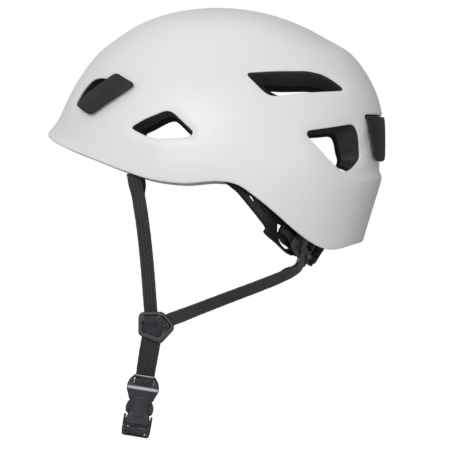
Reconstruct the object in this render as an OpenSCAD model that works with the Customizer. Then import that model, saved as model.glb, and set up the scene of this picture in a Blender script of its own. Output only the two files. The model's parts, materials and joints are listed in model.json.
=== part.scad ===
// Climbing helmet: moulded hard shell over a foam liner, with four lamp clips, a
// size-adjusting rear cradle, webbing harness and side-release chin buckle.
// Units are millimetres. -X is the brow, +X the nape, -Y the wearer's left, +Z up.
// The origin is the middle of the head opening, level with the side rim.

/* [Shell] */
// Height of the crown above the side rim
crown_h = 153; // [148:1:158]
// Wall of the hard outer shell
shell_t = 2.5; // [2:0.5:3]
// Thickness of the foam liner
liner_t = 12; // [8:1:14]
// Depth of the lamp-band channel across the nape
channel_d = 3; // [0:0.5:4]
// How far the peak kicks out at the brow
peak_kick = 6; // [0:1:8]

/* [Lamp clips] */
// Gap under a clip, for the lamp's elastic band
clip_gap = 3.2; // [2.5:0.1:4]
// Thickness of a clip plate
clip_t = 2.2; // [1.8:0.1:2.6]

/* [Rear cradle] */
// Angle of the cradle below the horizontal
cradle_pitch = 30; // [26:1:34]
// Radius of the adjusting dial
dial_r = 20; // [16:1:22]
// Teeth on the pinion under the dial
pinion_teeth = 10; // [10:1:10]

/* [Harness] */
// Width of the upper webbing
web_w = 11.5; // [10:0.5:12]
// Width of the chin webbing
chin_w = 16; // [14:0.5:17]
// Thickness of all webbing
web_t = 1.3; // [1:0.1:1.5]
// Width of the side-release buckle
buckle_w = 27.8; // [27:0.2:28]

/* [Hidden] */
$fn = 48;
SIDES = ["left", "right"];

// ---------------------------------------------------------------- colours
shell_white = [0.90, 0.90, 0.92];
foam_black = [0.07, 0.07, 0.075];
plastic_black = [0.13, 0.125, 0.14];
plastic_dark = [0.08, 0.08, 0.085];
web_black = [0.15, 0.145, 0.16];
pad_grey = [0.11, 0.11, 0.12];
steel = [0.65, 0.66, 0.68];

// ---------------------------------------------------------------- maths
function unit(v) = v / norm(v);
function flip(p) = [p[0], -p[1], p[2]];
function mix(a, b, s) = a + (b - a) * s;
function smooth(lo, hi, x) = let (s = min(1, max(0, (x - lo) / (hi - lo)))) s * s * (3 - 2 * s);
function segment(t, x, i = 0) = i >= len(t) - 2 || x <= t[i + 1][0] ? i : segment(t, x, i + 1);
function slope(t, i, c) =
    let (a = max(i - 1, 0), b = min(i + 1, len(t) - 1)) (t[b][c] - t[a][c]) / (t[b][0] - t[a][0]);
// Cubic curve through column c of the rows of t, at x in column 0
function curve(t, x, c = 1) =
    let (i = segment(t, x), h = t[i + 1][0] - t[i][0], s = (x - t[i][0]) / h,
         m0 = slope(t, i, c) * h, m1 = slope(t, i + 1, c) * h)
    (2 * s^3 - 3 * s^2 + 1) * t[i][c] + (s^3 - 2 * s^2 + s) * m0
    + (3 * s^2 - 2 * s^3) * t[i + 1][c] + (s^3 - s^2) * m1;
// An outline with each corner turned into a short curve that starts r from it
function soften(pts, r, n = 4) =
    [for (i = [0:len(pts) - 1])
        let (p = pts[i], a = pts[(i + len(pts) - 1) % len(pts)], b = pts[(i + 1) % len(pts)],
             pa = p + unit(a - p) * min(r, norm(a - p) * 0.45),
             pb = p + unit(b - p) * min(r, norm(b - p) * 0.45))
        for (k = [0:n]) let (s = k / n) mix(mix(pa, p, s), mix(p, pb, s), s)];

// ---------------------------------------------------------------- shell surface
// Plan centre of every level
plan_x = -5;
// How much the plan is squarer than an ellipse
plan_square = 0.035;
// Rows: height, reach to the brow, reach to the nape, half width
LEVEL_ROWS = [
    [crown_h, 0, 0, 0], [146, 48.5, 49.5, 40], [136, 72, 76, 60], [125, 88.5, 96.5, 74],
    [114, 102.5, 115, 84], [98, 115.5, 128.3, 94], [80, 126.5, 137.8, 101.5],
    [62, 135, 143, 106], [44, 141.5, 144.3, 108.5], [20, 146, 144, 109.5],
    [5, 148, 143, 109], [-25, 150, 134, 106], [-60, 151, 123.6, 101]
];
function depth_of(z) = sqrt(max(crown_h - z, 0) / 100);
LEVELS = [for (r = LEVEL_ROWS) [depth_of(r[0]), r[1], r[2], r[3]]];
// Height of the rim against the angle from the brow
RIM = [
    [0, 44.4], [20, 36.5], [42, 23.5], [58, 10.5], [68, 2.8], [79, -0.8], [90, 1], [97, -2],
    [104, -13], [121, -42], [131, -53.5], [140, -57], [156, -53], [180, -49.4]
];
// Height of the liner's edge against the same angle
LINER_RIM = [[0, 58], [42, 37], [68, 17], [90, 12], [125, 10], [180, 14]];
channel_top = 60;
channel_foot = 5;

function plan_gain(u) = 1 + plan_square * (1 - cos(4 * u)) / 2;
function from_brow(u) = abs(180 - ((u % 360) + 360) % 360);
function rim_z(v) = curve(RIM, v);
// Outward offset of the moulded features at height z and angle u
function relief(z, u) =
    let (v = from_brow(u), up = z - rim_z(v),
         kick = peak_kick * (1 - smooth(8, 62, v)) * max(0, 1 - up / 20)^2.5,
         foot = channel_foot - 8 * (1 - smooth(125, 175, v)),
         dip_top = smooth(145, 158, v) * (1 - smooth(channel_top - 3, channel_top, z)),
         dip_foot = smooth(118, 150, v) * smooth(foot, foot + 7, z),
         waist = 0.9 * smooth(62, 72, v) * (1 - smooth(105, 118, v)) * (1 - smooth(36, 40, z)))
    kick + waist - channel_d * min(dip_top + (1 - smooth(20, 50, z)) * dip_foot, 1) * dip_foot;
// Point of the outer surface at height z and angle u, where u is 0 at the nape; k = 0 leaves the relief out
function skin(z, u, k = 1) =
    let (q = depth_of(z), g = plan_gain(u), r = k * relief(z, u),
         a = curve(LEVELS, q, cos(u) > 0 ? 2 : 1), w = curve(LEVELS, q, 3))
    [plan_x + (a * g + r) * cos(u), (w * g + r) * sin(u), z];
function skin_normal(z, u, k = 1) =
    unit(cross(skin(z, u - 0.5, k) - skin(z, u + 0.5, k), skin(z - 0.5, u, k) - skin(z + 0.5, u, k)));
function over_skin(z, u, off, k = 1) = skin(z, u, k) + skin_normal(z, u, k) * off;
// Angle on the wearer's left at which the surface is at x, for height z
function azimuth(x, z, u = 60, k = 0) =
    k == 4 ? -u
    : let (a = curve(LEVELS, depth_of(z), x > plan_x ? 2 : 1),
           c = (x - plan_x) / (a * plan_gain(u)))
      azimuth(x, z, acos(min(1, max(-1, c))), k + 1);

// The left side as drawn, or the right side mirrored from it
module one_side(i) {
    if (i == 0) children();
    else mirror([0, 1, 0]) children();
}

// ---------------------------------------------------------------- closed skins
function ring_faces(n, a, b, turn) =
    [for (j = [0:n - 1]) let (k = (j + 1) % n)
        each (turn ? [[a + j, b + k, b + j], [a + j, a + k, b + k]]
                   : [[a + j, b + j, b + k], [a + j, b + k, a + k]])];
// A dome between two offsets of the skin, from the crown down to the edge table
module dome(off_out, off_in, edge, around, down) {
    z_at = function (i, u) crown_h - (crown_h - curve(edge, from_brow(u))) * (1 - cos(90 * i / down));
    ring = function (off) [for (i = [1:down]) for (j = [0:around - 1])
        let (u = 360 * j / around, z = z_at(i, u)) over_skin(z, u, off)];
    n = around * down;
    pts = concat([[plan_x, 0, crown_h + off_out]], ring(off_out),
                 [[plan_x, 0, crown_h + off_in]], ring(off_in));
    faces = concat(
        [for (j = [0:around - 1]) [0, 1 + j, 1 + (j + 1) % around]],
        [for (j = [0:around - 1]) [n + 1, n + 2 + (j + 1) % around, n + 2 + j]],
        [for (i = [0:down - 2]) each ring_faces(around, 1 + i * around, 1 + (i + 1) * around, false)],
        [for (i = [0:down - 2])
            each ring_faces(around, n + 2 + i * around, n + 2 + (i + 1) * around, true)],
        ring_faces(around, 1 + (down - 1) * around, n + 2 + (down - 1) * around, false));
    polyhedron(pts, [for (f = faces) [f[0], f[2], f[1]]]);
}
// Sections joined in order and closed at both ends; a section starts at a corner that sees the rest
module loft(sections) {
    first = sections[0];
    m = len(first);
    n = len(sections);
    area = [for (k = [1:m - 2]) 1] * [for (k = [1:m - 2]) cross(first[k] - first[0], first[k + 1]
        - first[0])];
    turn = area * (sections[1][0] - first[0]) < 0;
    cap = [for (k = [1:m - 2]) [0, k, k + 1]];
    back = [for (f = cap) [f[0], f[2], f[1]]];
    tail = [1, 1, 1] * (n - 1) * m;
    polyhedron(
        [for (s = sections) each s],
        concat([for (i = [0:n - 2]) each ring_faces(m, i * m, (i + 1) * m, turn)],
               turn ? back : cap,
               [for (f = turn ? cap : back) f + tail]));
}
// A bar that follows the skin: corners are [z, u] at root start, root end, tip start and tip end,
// and the section is a list of [share from root to tip, offset from the skin]
module skin_bar(corners, section, steps = 8, k = 1) {
    loft([for (i = [0:steps]) let (s = i / steps, root = mix(corners[0], corners[1], s),
                                   tip = mix(corners[2], corners[3], s))
        [for (q = section) let (p = mix(root, tip, q[0])) over_skin(p[0], p[1], q[1], k)]]);
}
function slab(lo, hi, n = 3) =
    concat([for (i = [0:n]) [i / n, hi]], [for (i = [0:n]) [1 - i / n, lo]]);

// ---------------------------------------------------------------- vents
// Side-view outlines [x, z] on the wearer's left
FRONT_VENT = [[-79, 46.7], [-66, 54.2], [-48, 61.3], [-42.5, 59.6], [-25, 42.8], [-27, 39.6],
              [-38, 37.4], [-55, 37], [-66, 39.8]];
TOP_VENT = [[19, 93.3], [46, 94.9], [72, 95.4], [85, 92.7], [95, 87.2], [105, 79.2], [70.6, 76.8],
            [43, 73.4], [36.5, 75.6]];
NAPE_VENT = [[71.5, 44], [112.5, 50.6], [116.5, 43], [119.5, 33], [121.3, 21], [112, 11.3],
             [104, 9], [92.5, 18.2], [72, 39.5]];
LAMP_SLOT = [[-128.6, 66.6], [-121, 80], [-113.5, 88], [-108, 90], [-99.6, 89.6], [-96, 84.5],
             [-117, 65.4]];
// Skin points over the inner mouth of each duct through the liner, one for each corner of its vent
FRONT_DUCT = [[-74, 46.5], [-66.3, 49.6], [-51, 58], [-44, 59.6], [-28.4, 44], [-29.5, 39.4],
              [-40, 37.4], [-58.5, 38.8], [-70.6, 39.4]];
TOP_DUCT = [[36.5, 89.4], [51.7, 87.3], [78.3, 87.6], [87.3, 87.3], [95.3, 85.3], [101, 79.7], [76, 74.7],
            [49.5, 78.6], [41, 85]];
NAPE_DUCT = [[81.7, 42], [103.7, 42.5], [108, 36.7], [112.2, 28.7], [116.8, 21.4], [113, 15.8],
             [108.4, 12], [98, 17.4], [76.6, 37.7]];
// Each opening in the shell: outline, turn of the cut, corner softness and, where it has one, its duct
VENTS = [[FRONT_VENT, -8, 4, FRONT_DUCT], [TOP_VENT, 12, 5, TOP_DUCT], [NAPE_VENT, 38, 5, NAPE_DUCT],
         [LAMP_SLOT, -50, 3.5]];
slot_room = 2;
// Cuts one vent through everything near the skin, square to the direction of turn
module vent_cut(vent, grow, deep) {
    t = [cos(vent[1]), sin(vent[1])];
    outline = [for (p = soften(vent[0], vent[2]))
        let (q = skin(p[1], azimuth(p[0], p[1]))) [q[0] * t[0] + q[1] * t[1], q[1] * t[0] - q[0] * t[1],
            q[2]]];
    near = min([for (p = outline) p[1]]);
    rotate([90, 0, vent[1]]) translate([0, 0, -near - deep])
        linear_extrude(deep + 12) offset(delta = grow) polygon([for (p = outline) [p[0], p[2]]]);
}
// Narrows from a vent's outline, above the liner, to its inner mouth, below the liner
module duct(vent) {
    section = function (pts, off) [for (p = soften(pts, vent[2])) over_skin(p[1], azimuth(p[0], p[1]),
        off)];
    loft([section(vent[0], 9), section(vent[0], liner_out + 0.3),
          section(vent[3], liner_in - 0.3), section(vent[3], liner_in - 12)]);
}
module all_vents(in_liner) {
    for (side = [0, 1]) one_side(side) for (v = VENTS) {
        if (!in_liner) vent_cut(v, 0, 26);
        else if (len(v) > 3) duct(v);
        else vent_cut(v, slot_room, 46);
    }
}
// Slots at the nape that take the legs of the rear clips
module rear_slots(grow) {
    for (side = [0, 1]) one_side(side)
        skin_bar([[rear_slot_top + grow, -6 + grow], [rear_slot_top + grow, -30 - grow],
                  [rear_slot_top - 4 - grow, -6 + grow], [rear_slot_top - 4 - grow, -30 - grow]],
                 slab(-18, 5, 1), 6, 0);
}

// ---------------------------------------------------------------- shell, liner and pads
rear_slot_top = 58.8;
module outer_shell() {
    color(shell_white) difference() {
        dome(0, -shell_t, RIM, 72, 22);
        all_vents(false);
        rear_slots(0);
    }
}
liner_out = -shell_t - 0.5;
liner_in = liner_out - liner_t;
module foam_liner() {
    color(foam_black) difference() {
        dome(liner_out, liner_in, LINER_RIM, 60, 16);
        all_vents(true);
        rear_slots(slot_room);
        translate([cradle_at[0], 0, cradle_at[2]]) rotate([90, 0, 0]) cylinder(r = stud_r + 5.6, h = 240,
            center = true);
    }
}
pad_off = liner_in - 0.4;
pad_t = 6;
module brow_pad() {
    color(pad_grey) skin_bar([[64, 236], [64, 124], [84, 236], [84, 124]], slab(pad_off - pad_t,
        pad_off), 14);
}
module crown_pad() {
    color(pad_grey) for (u = [0:60:300])
        skin_bar([[136, u - 17], [136, u + 17], [118, u - 11], [118, u + 11]],
                 slab(pad_off - pad_t, pad_off), 4);
}
module temple_pad() {
    color(pad_grey) skin_bar([[98, -116], [98, -78], [70, -110], [70, -80]], slab(pad_off - pad_t,
        pad_off), 5);
}

// ---------------------------------------------------------------- lamp clips
function side_corner(x, z) = [z, azimuth(x, z)];
FRONT_CLIP = [side_corner(-122.6, 66), side_corner(-88.5, 92.3),
              side_corner(-109.8, 56.2), side_corner(-71, 81.3)];
REAR_CLIP = [[57.6, -7], [57.6, -31], [20, -7], [19, -23]];
leg_depth = 8;
leg_steps = 8;
// Share of the plate's length that the leg is set in from the root
leg_inset = 0.02;
// A plate that stands off the plain skin, and a leg under part of its root that passes through the shell
module lamp_clip(corners, leg_from, leg_to, leg_in, stand) {
    color(plastic_black) {
        skin_bar(corners, slab(stand, stand + clip_t), 8, 0);
        for (i = [0:leg_steps - 1]) hull()
            for (k = [i, i + 1]) for (share = [leg_inset, leg_in]) {
                s = mix(leg_from, leg_to, k / leg_steps);
                p = mix(mix(corners[0], corners[1], s), mix(corners[2], corners[3], s), share);
                for (off = [-leg_depth, stand + 0.8]) translate(over_skin(p[0], p[1], off, 0)) cube(0.02);
            }
    }
}

// ---------------------------------------------------------------- webbing
// Rows are [x, y, z, lean]: a point of the route, and how far the width leans out of the side plane
function ribbon_frame(rows, i) =
    let (n = len(rows), a = rows[max(i - 1, 0)], b = rows[min(i + 1, n - 1)],
         t = unit([b[0] - a[0], b[1] - a[1], b[2] - a[2]]),
         flat = unit([1, 0, 0] - t * t[0]), out = cross(flat, t))
    [flat * cos(rows[i][3]) + out * sin(rows[i][3]), t];
module ribbon(rows, width) {
    color(web_black) loft([for (i = [0:len(rows) - 1])
        let (f = ribbon_frame(rows, i), p = [rows[i][0], rows[i][1], rows[i][2]],
             w = f[0] * width / 2, h = cross(f[0], f[1]) * web_t / 2)
        [p + w + h, p - w + h, p - w - h, p + w - h]]);
}
// The right-hand webbing hangs a little longer than the left, except where the shell and cradle hold it
hang_centre = [1.7, 0, -35.7];
hang_reach = 3500;
function hang_right(r) =
    let (s = (hang_reach - r[1]) / (hang_reach + r[1]))
    [hang_centre[0] + (r[0] - hang_centre[0]) * s, -r[1], hang_centre[2] + (r[2] - hang_centre[2]) * s,
        -r[3]];
function held(r) = r[2] > -11 || r[0] > 50;
function side_rows(rows, side) =
    side == "left" ? rows : [for (r = rows) held(r) ? [r[0], -r[1], r[2], -r[3]] : hang_right(r)];
FRONT_STRAP = [[-76, -91.6, 8.6, 4], [-74.6, -91.4, 0, 4], [-71.6, -90, -12, 2], [-67.5, -85.5, -40, 0],
               [-64.5, -78, -70, 0], [-62.6, -70.5, -96, 0], [-61.9, -66.2, -106.5, 0],
               [-61.6, -64.9, -110.4, 0], [-61.5, -64.9, -112.6, 0], [-61.4, -65.6, -113.9, 0],
               [-61.4, -67, -114.3, 0], [-61.4, -68.4, -114.4, 0]];
REAR_STRAP = [[79, -80.6, -18.6, 60], [77, -79, -30, 60], [71.6, -71, -46, 62], [69, -64.5, -57.5, 66],
              [68.3, -61.8, -63.5, 66], [66.9, -60, -69.5, 58], [63.5, -58.8, -74, 46],
              [57.5, -58.2, -77.2, 38], [48.8, -58.1, -80.6, 36], [30, -59, -88.1, 36], [0, -61, -99.4, 35],
              [-28, -63.4, -110.2, 28], [-38.5, -64.5, -114.2, 13], [-43.8, -64.8, -116.1, 5],
              [-46.8, -64.9, -117.3, 8], [-48.6, -65, -118.4, 24], [-49.2, -65.7, -118.8, 46],
              [-49.35, -67, -118.95, 51], [-49.35, -68.5, -119, 51]];

module front_strap(side) { ribbon(side_rows(FRONT_STRAP, side), web_w); }
module rear_strap(side) { ribbon(side_rows(REAR_STRAP, side), web_w); }

// ---------------------------------------------------------------- strap divider
divider_at = [-57.5, -67.3, -122];
divider_t = 3;
DIVIDER = [[-12.8, 12], [6, 12.4], [9.4, 9], [16, 0.6], [15.6, -3.2], [4.8, -15], [1.4, -14.2],
           [-14.8, -7.6], [-14.8, 8.4]];
DIVIDER_WINDOWS = [
    [[-10.6, 9.4], [3, 9.4], [3, 6.2], [-10.6, 6.2]],
    [[5.2, 9.2], [13.4, -1], [11.2, -3], [3.2, 7]],
    [[-11.8, 4], [2, 4], [8.6, -3.6], [3.6, -10.8], [-11.8, -5]]
];
module divider_body() {
    color(plastic_black) rotate([90, 0, 0]) linear_extrude(divider_t, center = true) difference() {
        polygon(soften(DIVIDER, 3));
        for (w = DIVIDER_WINDOWS) polygon(soften(w, 0.8, 2));
    }
}
module strap_divider(side) {
    p = side == "left" ? divider_at : hang_right(concat(divider_at, 0));
    translate([p[0], p[1], p[2]]) divider_body();
}

// ---------------------------------------------------------------- buckle
// In the buckle's own frame X is across, -Z runs down from the webbing slot and Y is its thickness
buckle_at = [-66.9, -50, -164.3];
buckle_lean = 9.3;
buckle_t = 8;
cavity_t = 4.8;
cavity_top = -15;
socket_h = 43;
insert_h = 53.4;
pivot_s = -37;
pivot_x = 6.4;
module in_buckle() { translate(buckle_at) rotate([0, buckle_lean, 0]) children(); }
module side_plate(pts, thick, r = 1.2) {
    rotate([90, 0, 0]) linear_extrude(thick, center = true) polygon(soften(pts, r));
}
function mirrored(half) = concat(half, [for (i = [len(half) - 1:-1:0]) [-half[i][0], half[i][1]]]);
SOCKET = mirrored([[8.4, 0], [buckle_w / 2 - 1.4, -5], [buckle_w / 2, -9.5], [buckle_w / 2, -13],
                   [11.6, -18.6], [10.2, -21.4], [7.6, -24], [6.6, -28], [7.4, -32], [10, -36.4],
                   [10.4, -socket_h]]);
module buckle_socket() {
    color(plastic_black) in_buckle() difference() {
        side_plate(SOCKET, buckle_t, 1.6);
        // Cavity for the insert, open at the mouth and sides, around a middle guide rib
        for (s = [-1, 1]) translate([s * 7.7 - 6.3, -cavity_t / 2, -socket_h - 1])
            cube([12.6, cavity_t, socket_h + 1 + cavity_top]);
        // Webbing slot
        translate([-8.5, -buckle_t, -8.6]) cube([17, 2 * buckle_t, 5.4]);
        // The face in front of the slot is set back so that the webbing lies flush
        translate([-20, -buckle_t, -11.6]) cube([40, buckle_t - 2, 12]);
        translate([-20, 2, -11.6]) cube([40, buckle_t - 2, 12]);
    }
}
module buckle_insert() {
    color(plastic_dark) in_buckle() difference() {
        union() {
            translate([-12.2, -buckle_t / 2 + 0.4, -insert_h]) cube([24.4, buckle_t - 0.8,
                insert_h - socket_h - 0.4]);
            translate([-10.6, -2.1, -socket_h - 1]) cube([21.2, 4.2, socket_h + 1 + pivot_s - 1]);
            for (s = [-1, 1]) translate([s * 11.55 - 0.65, -buckle_t / 2 + 0.4, -socket_h - 1])
                cube([1.3, buckle_t - 0.8, 9]);
            translate([-12.2, -2.1, -socket_h - 1]) cube([24.4, 4.2, 4]);
        }
        for (z = [-47.6, -52]) translate([-8.6, -buckle_t, z]) cube([17.2, 2 * buckle_t, 2.8]);
        for (s = [-1, 1]) translate([s * pivot_x, 0, pivot_s - 0.9]) rotate([90, 0, 0]) cylinder(r = 1.6,
            h = 12, center = true);
        translate([-1.8, -3, -socket_h - 0.4]) cube([3.6, 6, 20]);
    }
}
PRONG = [[pivot_x - 1.5, pivot_s], [pivot_x - 1.5, -24], [4.4, -19.4], [5.6, -18], [9.4, -18],
    [11.4, -20.4], [9.6, -22.4],
         [11.2, -25], [11.8, -29], [11.2, -33.2], [pivot_x + 1.5, -35.6], [pivot_x + 1.5, pivot_s]];
module buckle_prong(side) {
    s = side == "left" ? -1 : 1;
    color(plastic_dark) in_buckle() mirror([s < 0 ? 1 : 0, 0, 0]) {
        side_plate(PRONG, cavity_t - 0.8, 0.8);
        translate([pivot_x, 0, pivot_s - 0.9]) rotate([90, 0, 0]) cylinder(r = 1.5, h = cavity_t - 0.8,
            center = true);
    }
}

// ---------------------------------------------------------------- lower webbing
LOWER_STRAP = [[-59.6, -68.4, -126.4, 0], [-59.7, -67, -126.7, 0], [-59.9, -65.6, -127.6, 0],
               [-60.2, -64.9, -129.6, 0], [-61, -64.4, -134, 0], [-62.2, -61.4, -141, 0],
               [-63.9, -55.6, -151, 0], [-65.4, -48.6, -160.3, 0], [-66.5, -47, -164.6, 0],
               [-67.3, -47, -168, 0], [-67.8, -48.2, -170, 0], [-68.1, -50.2, -170.6, 0]];
CHIN_STRAP = [[-61.7, 68.4, -129.5, 0], [-61.8, 67, -129.8, 0], [-62, 65.6, -130.7, 0], [-62.3, 64.9,
    -132.6, 0],
              [-63, 64.6, -137, 0], [-64, 62.8, -144, 0], [-66, 59, -155, 0], [-69, 55, -172, 0],
              [-71.6, 51, -190, 0], [-73, 47, -200, 0], [-73.8, 42, -206.4, 0], [-74.2, 34, -210.6, 0],
              [-74.4, 22, -212.6, 0], [-74.5, 6, -213.4, 0], [-74.6, -14, -213, 0], [-74.6, -32, -211.6, 4],
              [-74.5, -41, -210.5, 9], [-74.4, -46, -210.2, 9], [-74.4, -50, -210.2, 9], [-74.4, -54.2,
                  -210.2, 9],
              [-74.5, -55.1, -210.9, 5], [-75, -55.1, -213.4, -5], [-75.1, -54.2, -214.1, -9],
                  [-75.1, -50, -214.1, -9],
              [-75.1, -46, -214.1, -9], [-75.1, -41, -214.2, -9]];
module lower_strap_left() { ribbon(LOWER_STRAP, chin_w); }
module chin_strap() { ribbon(CHIN_STRAP, chin_w); }
module strap_keeper() {
    color(plastic_dark) translate([-74.6, -22, -212.4]) difference() {
        cube([chin_w + 4, 8, 5.4], center = true);
        cube([chin_w + 1, 10, 3.2], center = true);
    }
}

// ---------------------------------------------------------------- anchors and studs
// A block on the inside of the shell wall at [z, u]
module wall_block(z, u, across, tall, thick) {
    p = over_skin(z, u, -shell_t - 1 - thick / 2);
    n = skin_normal(z, u);
    translate(p) rotate([0, 0, atan2(n[1], n[0]) + 90]) cube([across, thick, tall], center = true);
}
front_anchor_at = [12.5, azimuth(-77, 12.5)];
rear_anchor_at = [-14, azimuth(80, -14)];
module front_anchor() { color(plastic_dark) wall_block(front_anchor_at[0], front_anchor_at[1], 17, 7, 4); }
module rear_anchor() { color(plastic_dark) wall_block(rear_anchor_at[0], rear_anchor_at[1], 17, 8, 4); }

// ---------------------------------------------------------------- rear cradle
cradle_at = [-7, 0, 16];
arm_y = 86;
arm_t = 2.4;
bend_r = 60;
rack_x = 104;
dial_z = -14.4;
stud_r = 3;
module in_cradle() { translate(cradle_at) rotate([0, cradle_pitch, 0]) children(); }
module pivot_stud() {
    color(plastic_dark) translate([cradle_at[0], 0, cradle_at[2]]) rotate([90, 0, 0]) {
        translate([0, 0, 79]) cylinder(r = stud_r, h = 17);
        translate([0, 0, 77]) cylinder(r = stud_r + 2.5, h = 2);
        translate([0, 0, 95.2]) cylinder(r = stud_r + 5, h = 11);
    }
}
// Plan of a band: straight back from the temple, round the nape, then across behind the head
module band_plan(inner, outer, reach) {
    bend_c = [rack_x - bend_r, -(arm_y - bend_r)];
    translate([-12, -arm_y - outer]) square([bend_c[0] + 12, outer - inner]);
    difference() {
        translate(bend_c) intersection() {
            circle(r = bend_r + outer, $fn = 160);
            translate([0, -2 * bend_r]) square(2 * bend_r);
        }
        translate(bend_c) circle(r = bend_r + inner, $fn = 160);
    }
    translate([rack_x + inner, bend_c[1] - 0.01]) square([outer - inner, reach - bend_c[1]]);
}
tooth = PI;
pitch_r = pinion_teeth / 2;
rack_reach = 15;
// Side view of an arm: ring at the temple, a tapering strap, and the lobe that cups the nape
ARM_SIDE = [[-8, 0], [-5, 7], [4, 8], [16, 7], [40, 5.5], [70, 2.5], [97, 0.5], [99, -3], [99, -22],
            [98.4, -31], [95, -35.6], [88, -34.2], [80, -32], [70, -30.4], [65.2, -28.6], [66.6, -25],
            [58.3, -21.4], [46, -16.6], [36, -12.8], [28, -9.8], [10, -7.2], [0, -8]];
ARM_WINDOWS = [
    [[30, -4.7], [35.7, -6], [35.5, -7.3], [30.4, -6.1]],
    [[39, -7], [40.4, -6.6], [45, -9.1], [44.7, -11.3], [39.1, -9]],
    [[52, -10.2], [58.8, -13], [58.4, -14.5], [52.1, -11.8]],
    [[60.4, -15.5], [63.4, -16.8], [62.8, -18.2], [60.4, -16.9]],
    [[70.7, -16.4], [77.3, -16.1], [76.8, -19.6], [78.1, -23.3], [74.7, -23.7]],
    [[77.3, -27], [80.6, -26.7], [85, -29.5], [92.2, -29.8], [92.4, -31.5], [87.5, -32.4], [82, -30.8]]
];
module rack_teeth(up) {
    s = up ? 1 : -1;
    for (k = [-4:4]) translate([rack_x, k * tooth, dial_z + s * (pitch_r + 1.1)])
        rotate([90, 0, 90]) linear_extrude(arm_t - 0.2, center = true)
            polygon([[-1, s * 0.14], [-0.3, -s * 1.8], [0.3, -s * 1.8], [1, s * 0.14], [0, s]]);
}
module headband_arm(side) {
    left = side == "left";
    s = left ? 1 : -1;
    color(plastic_black) in_cradle() {
        one_side(left ? 0 : 1) difference() {
            intersection() {
                translate([0, 0, -60]) linear_extrude(120) band_plan(-arm_t / 2, arm_t / 2, rack_reach);
                rotate([90, 0, 0]) linear_extrude(240, center = true) {
                    polygon(soften(ARM_SIDE, 4));
                    translate([96, dial_z + s * (pitch_r + 4.4) - 3.3]) square([20, 6.6]);
                }
            }
            rotate([90, 0, 0]) linear_extrude(200) for (w = ARM_WINDOWS) polygon(soften(w, 1.2, 2));
            rotate([90, 0, 0]) cylinder(r = stud_r + 0.1, h = 240, center = true);
        }
        rack_teeth(left);
    }
}

// ---------------------------------------------------------------- yoke and dial
yoke_w = 52;
yoke_low = -32;
yoke_high = 3.4;
floor_x = 99.4;
cover_x = 108.2;
knob_x = 110.6;
knob_back = 118;
screw_at = [for (y = [-21.5, 21.5]) for (z = [0, -28.6]) [y, z]];
module rear_plate(x, thick, shrink = 0) {
    translate([x, 0, 0]) rotate([90, 0, 90]) linear_extrude(thick)
        polygon(soften([[-yoke_w / 2 + shrink, yoke_low + shrink], [yoke_w / 2 - shrink, yoke_low + shrink],
                        [yoke_w / 2 - shrink, yoke_high - shrink], [-yoke_w / 2 + shrink,
                            yoke_high - shrink]], 5 - shrink));
}
// Rear view of a wing that keeps the rear strap in behind the nape
WING = [[24, -30.5], [24, -21], [34, -24], [44, -30], [51, -33.4], [55, -36.2], [54.4, -39.8],
        [50, -40.6], [38, -35.8]];
module yoke_wing() {
    intersection() {
        translate([90, 0, 0]) rotate([90, 0, 90]) linear_extrude(30) polygon(soften(WING, 3));
        translate([0, 0, -60]) linear_extrude(80)
            polygon([[105.4, 22], [107.9, 22], [107.9, 30], [106.4, 63], [104, 63], [105.4, 30]]);
    }
}
module cradle_yoke() {
    color(plastic_black) in_cradle() {
        difference() {
            rear_plate(floor_x, cover_x - floor_x);
            difference() {
                rear_plate(floor_x + 2, 20, 2);
                for (p = screw_at) translate([0, p[0], p[1]]) rotate([0, 90, 0]) cylinder(r = 2.6, h = 150);
            }
            for (s = [-1, 1]) translate([rack_x - 1.6, -40, dial_z + s * (pitch_r + 4.4) - 3.8])
                cube([3.2, 80, 7.6]);
            translate([0, 0, dial_z]) rotate([0, 90, 0]) cylinder(r = 3.5, h = 103);
            for (p = screw_at) translate([floor_x + 2, p[0], p[1]]) rotate([0, 90, 0]) cylinder(r = 1,
                h = 20);
        }
        for (side = [0, 1]) one_side(side) yoke_wing();
    }
}
module dial_cover() {
    color(plastic_dark) in_cradle() difference() {
        rear_plate(cover_x + 0.05, 2);
        translate([cover_x - 1, 0, dial_z]) rotate([0, 90, 0]) cylinder(r = 4, h = 10);
        for (p = screw_at) translate([cover_x - 1, p[0], p[1]]) rotate([0, 90, 0]) cylinder(r = 1.3,
            h = 10);
        for (p = screw_at) translate([cover_x + 1.2, p[0], p[1]]) rotate([0, 90, 0]) cylinder(r = 2.3,
            h = 10);
    }
}
module cover_screws() {
    color(steel) in_cradle() for (p = screw_at) translate([0, p[0], p[1]]) rotate([0, 90, 0]) {
        translate([0, 0, cover_x - 4]) cylinder(r = 0.95, h = 5.4);
        translate([0, 0, cover_x + 1.3]) cylinder(r = 2, h = 0.8);
    }
}
module dial_pinion() {
    color(plastic_dark) in_cradle() translate([0, 0, dial_z]) rotate([0, 90, 0]) difference() {
        union() {
            translate([0, 0, 102.4]) linear_extrude(3.4) {
                circle(r = pitch_r - 1.15);
                for (k = [0:pinion_teeth - 1]) rotate(90 + 360 * k / pinion_teeth)
                    translate([pitch_r - 1.3, 0])
                    polygon([[0, -0.85], [2.0, -0.3], [2.0, 0.3], [0, 0.85]]);
            }
            translate([0, 0, 105.8]) cylinder(r = 3.7, h = 7);
        }
        translate([0, 0, 100]) cylinder(r = 1.5, h = 20);
    }
}
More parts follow.
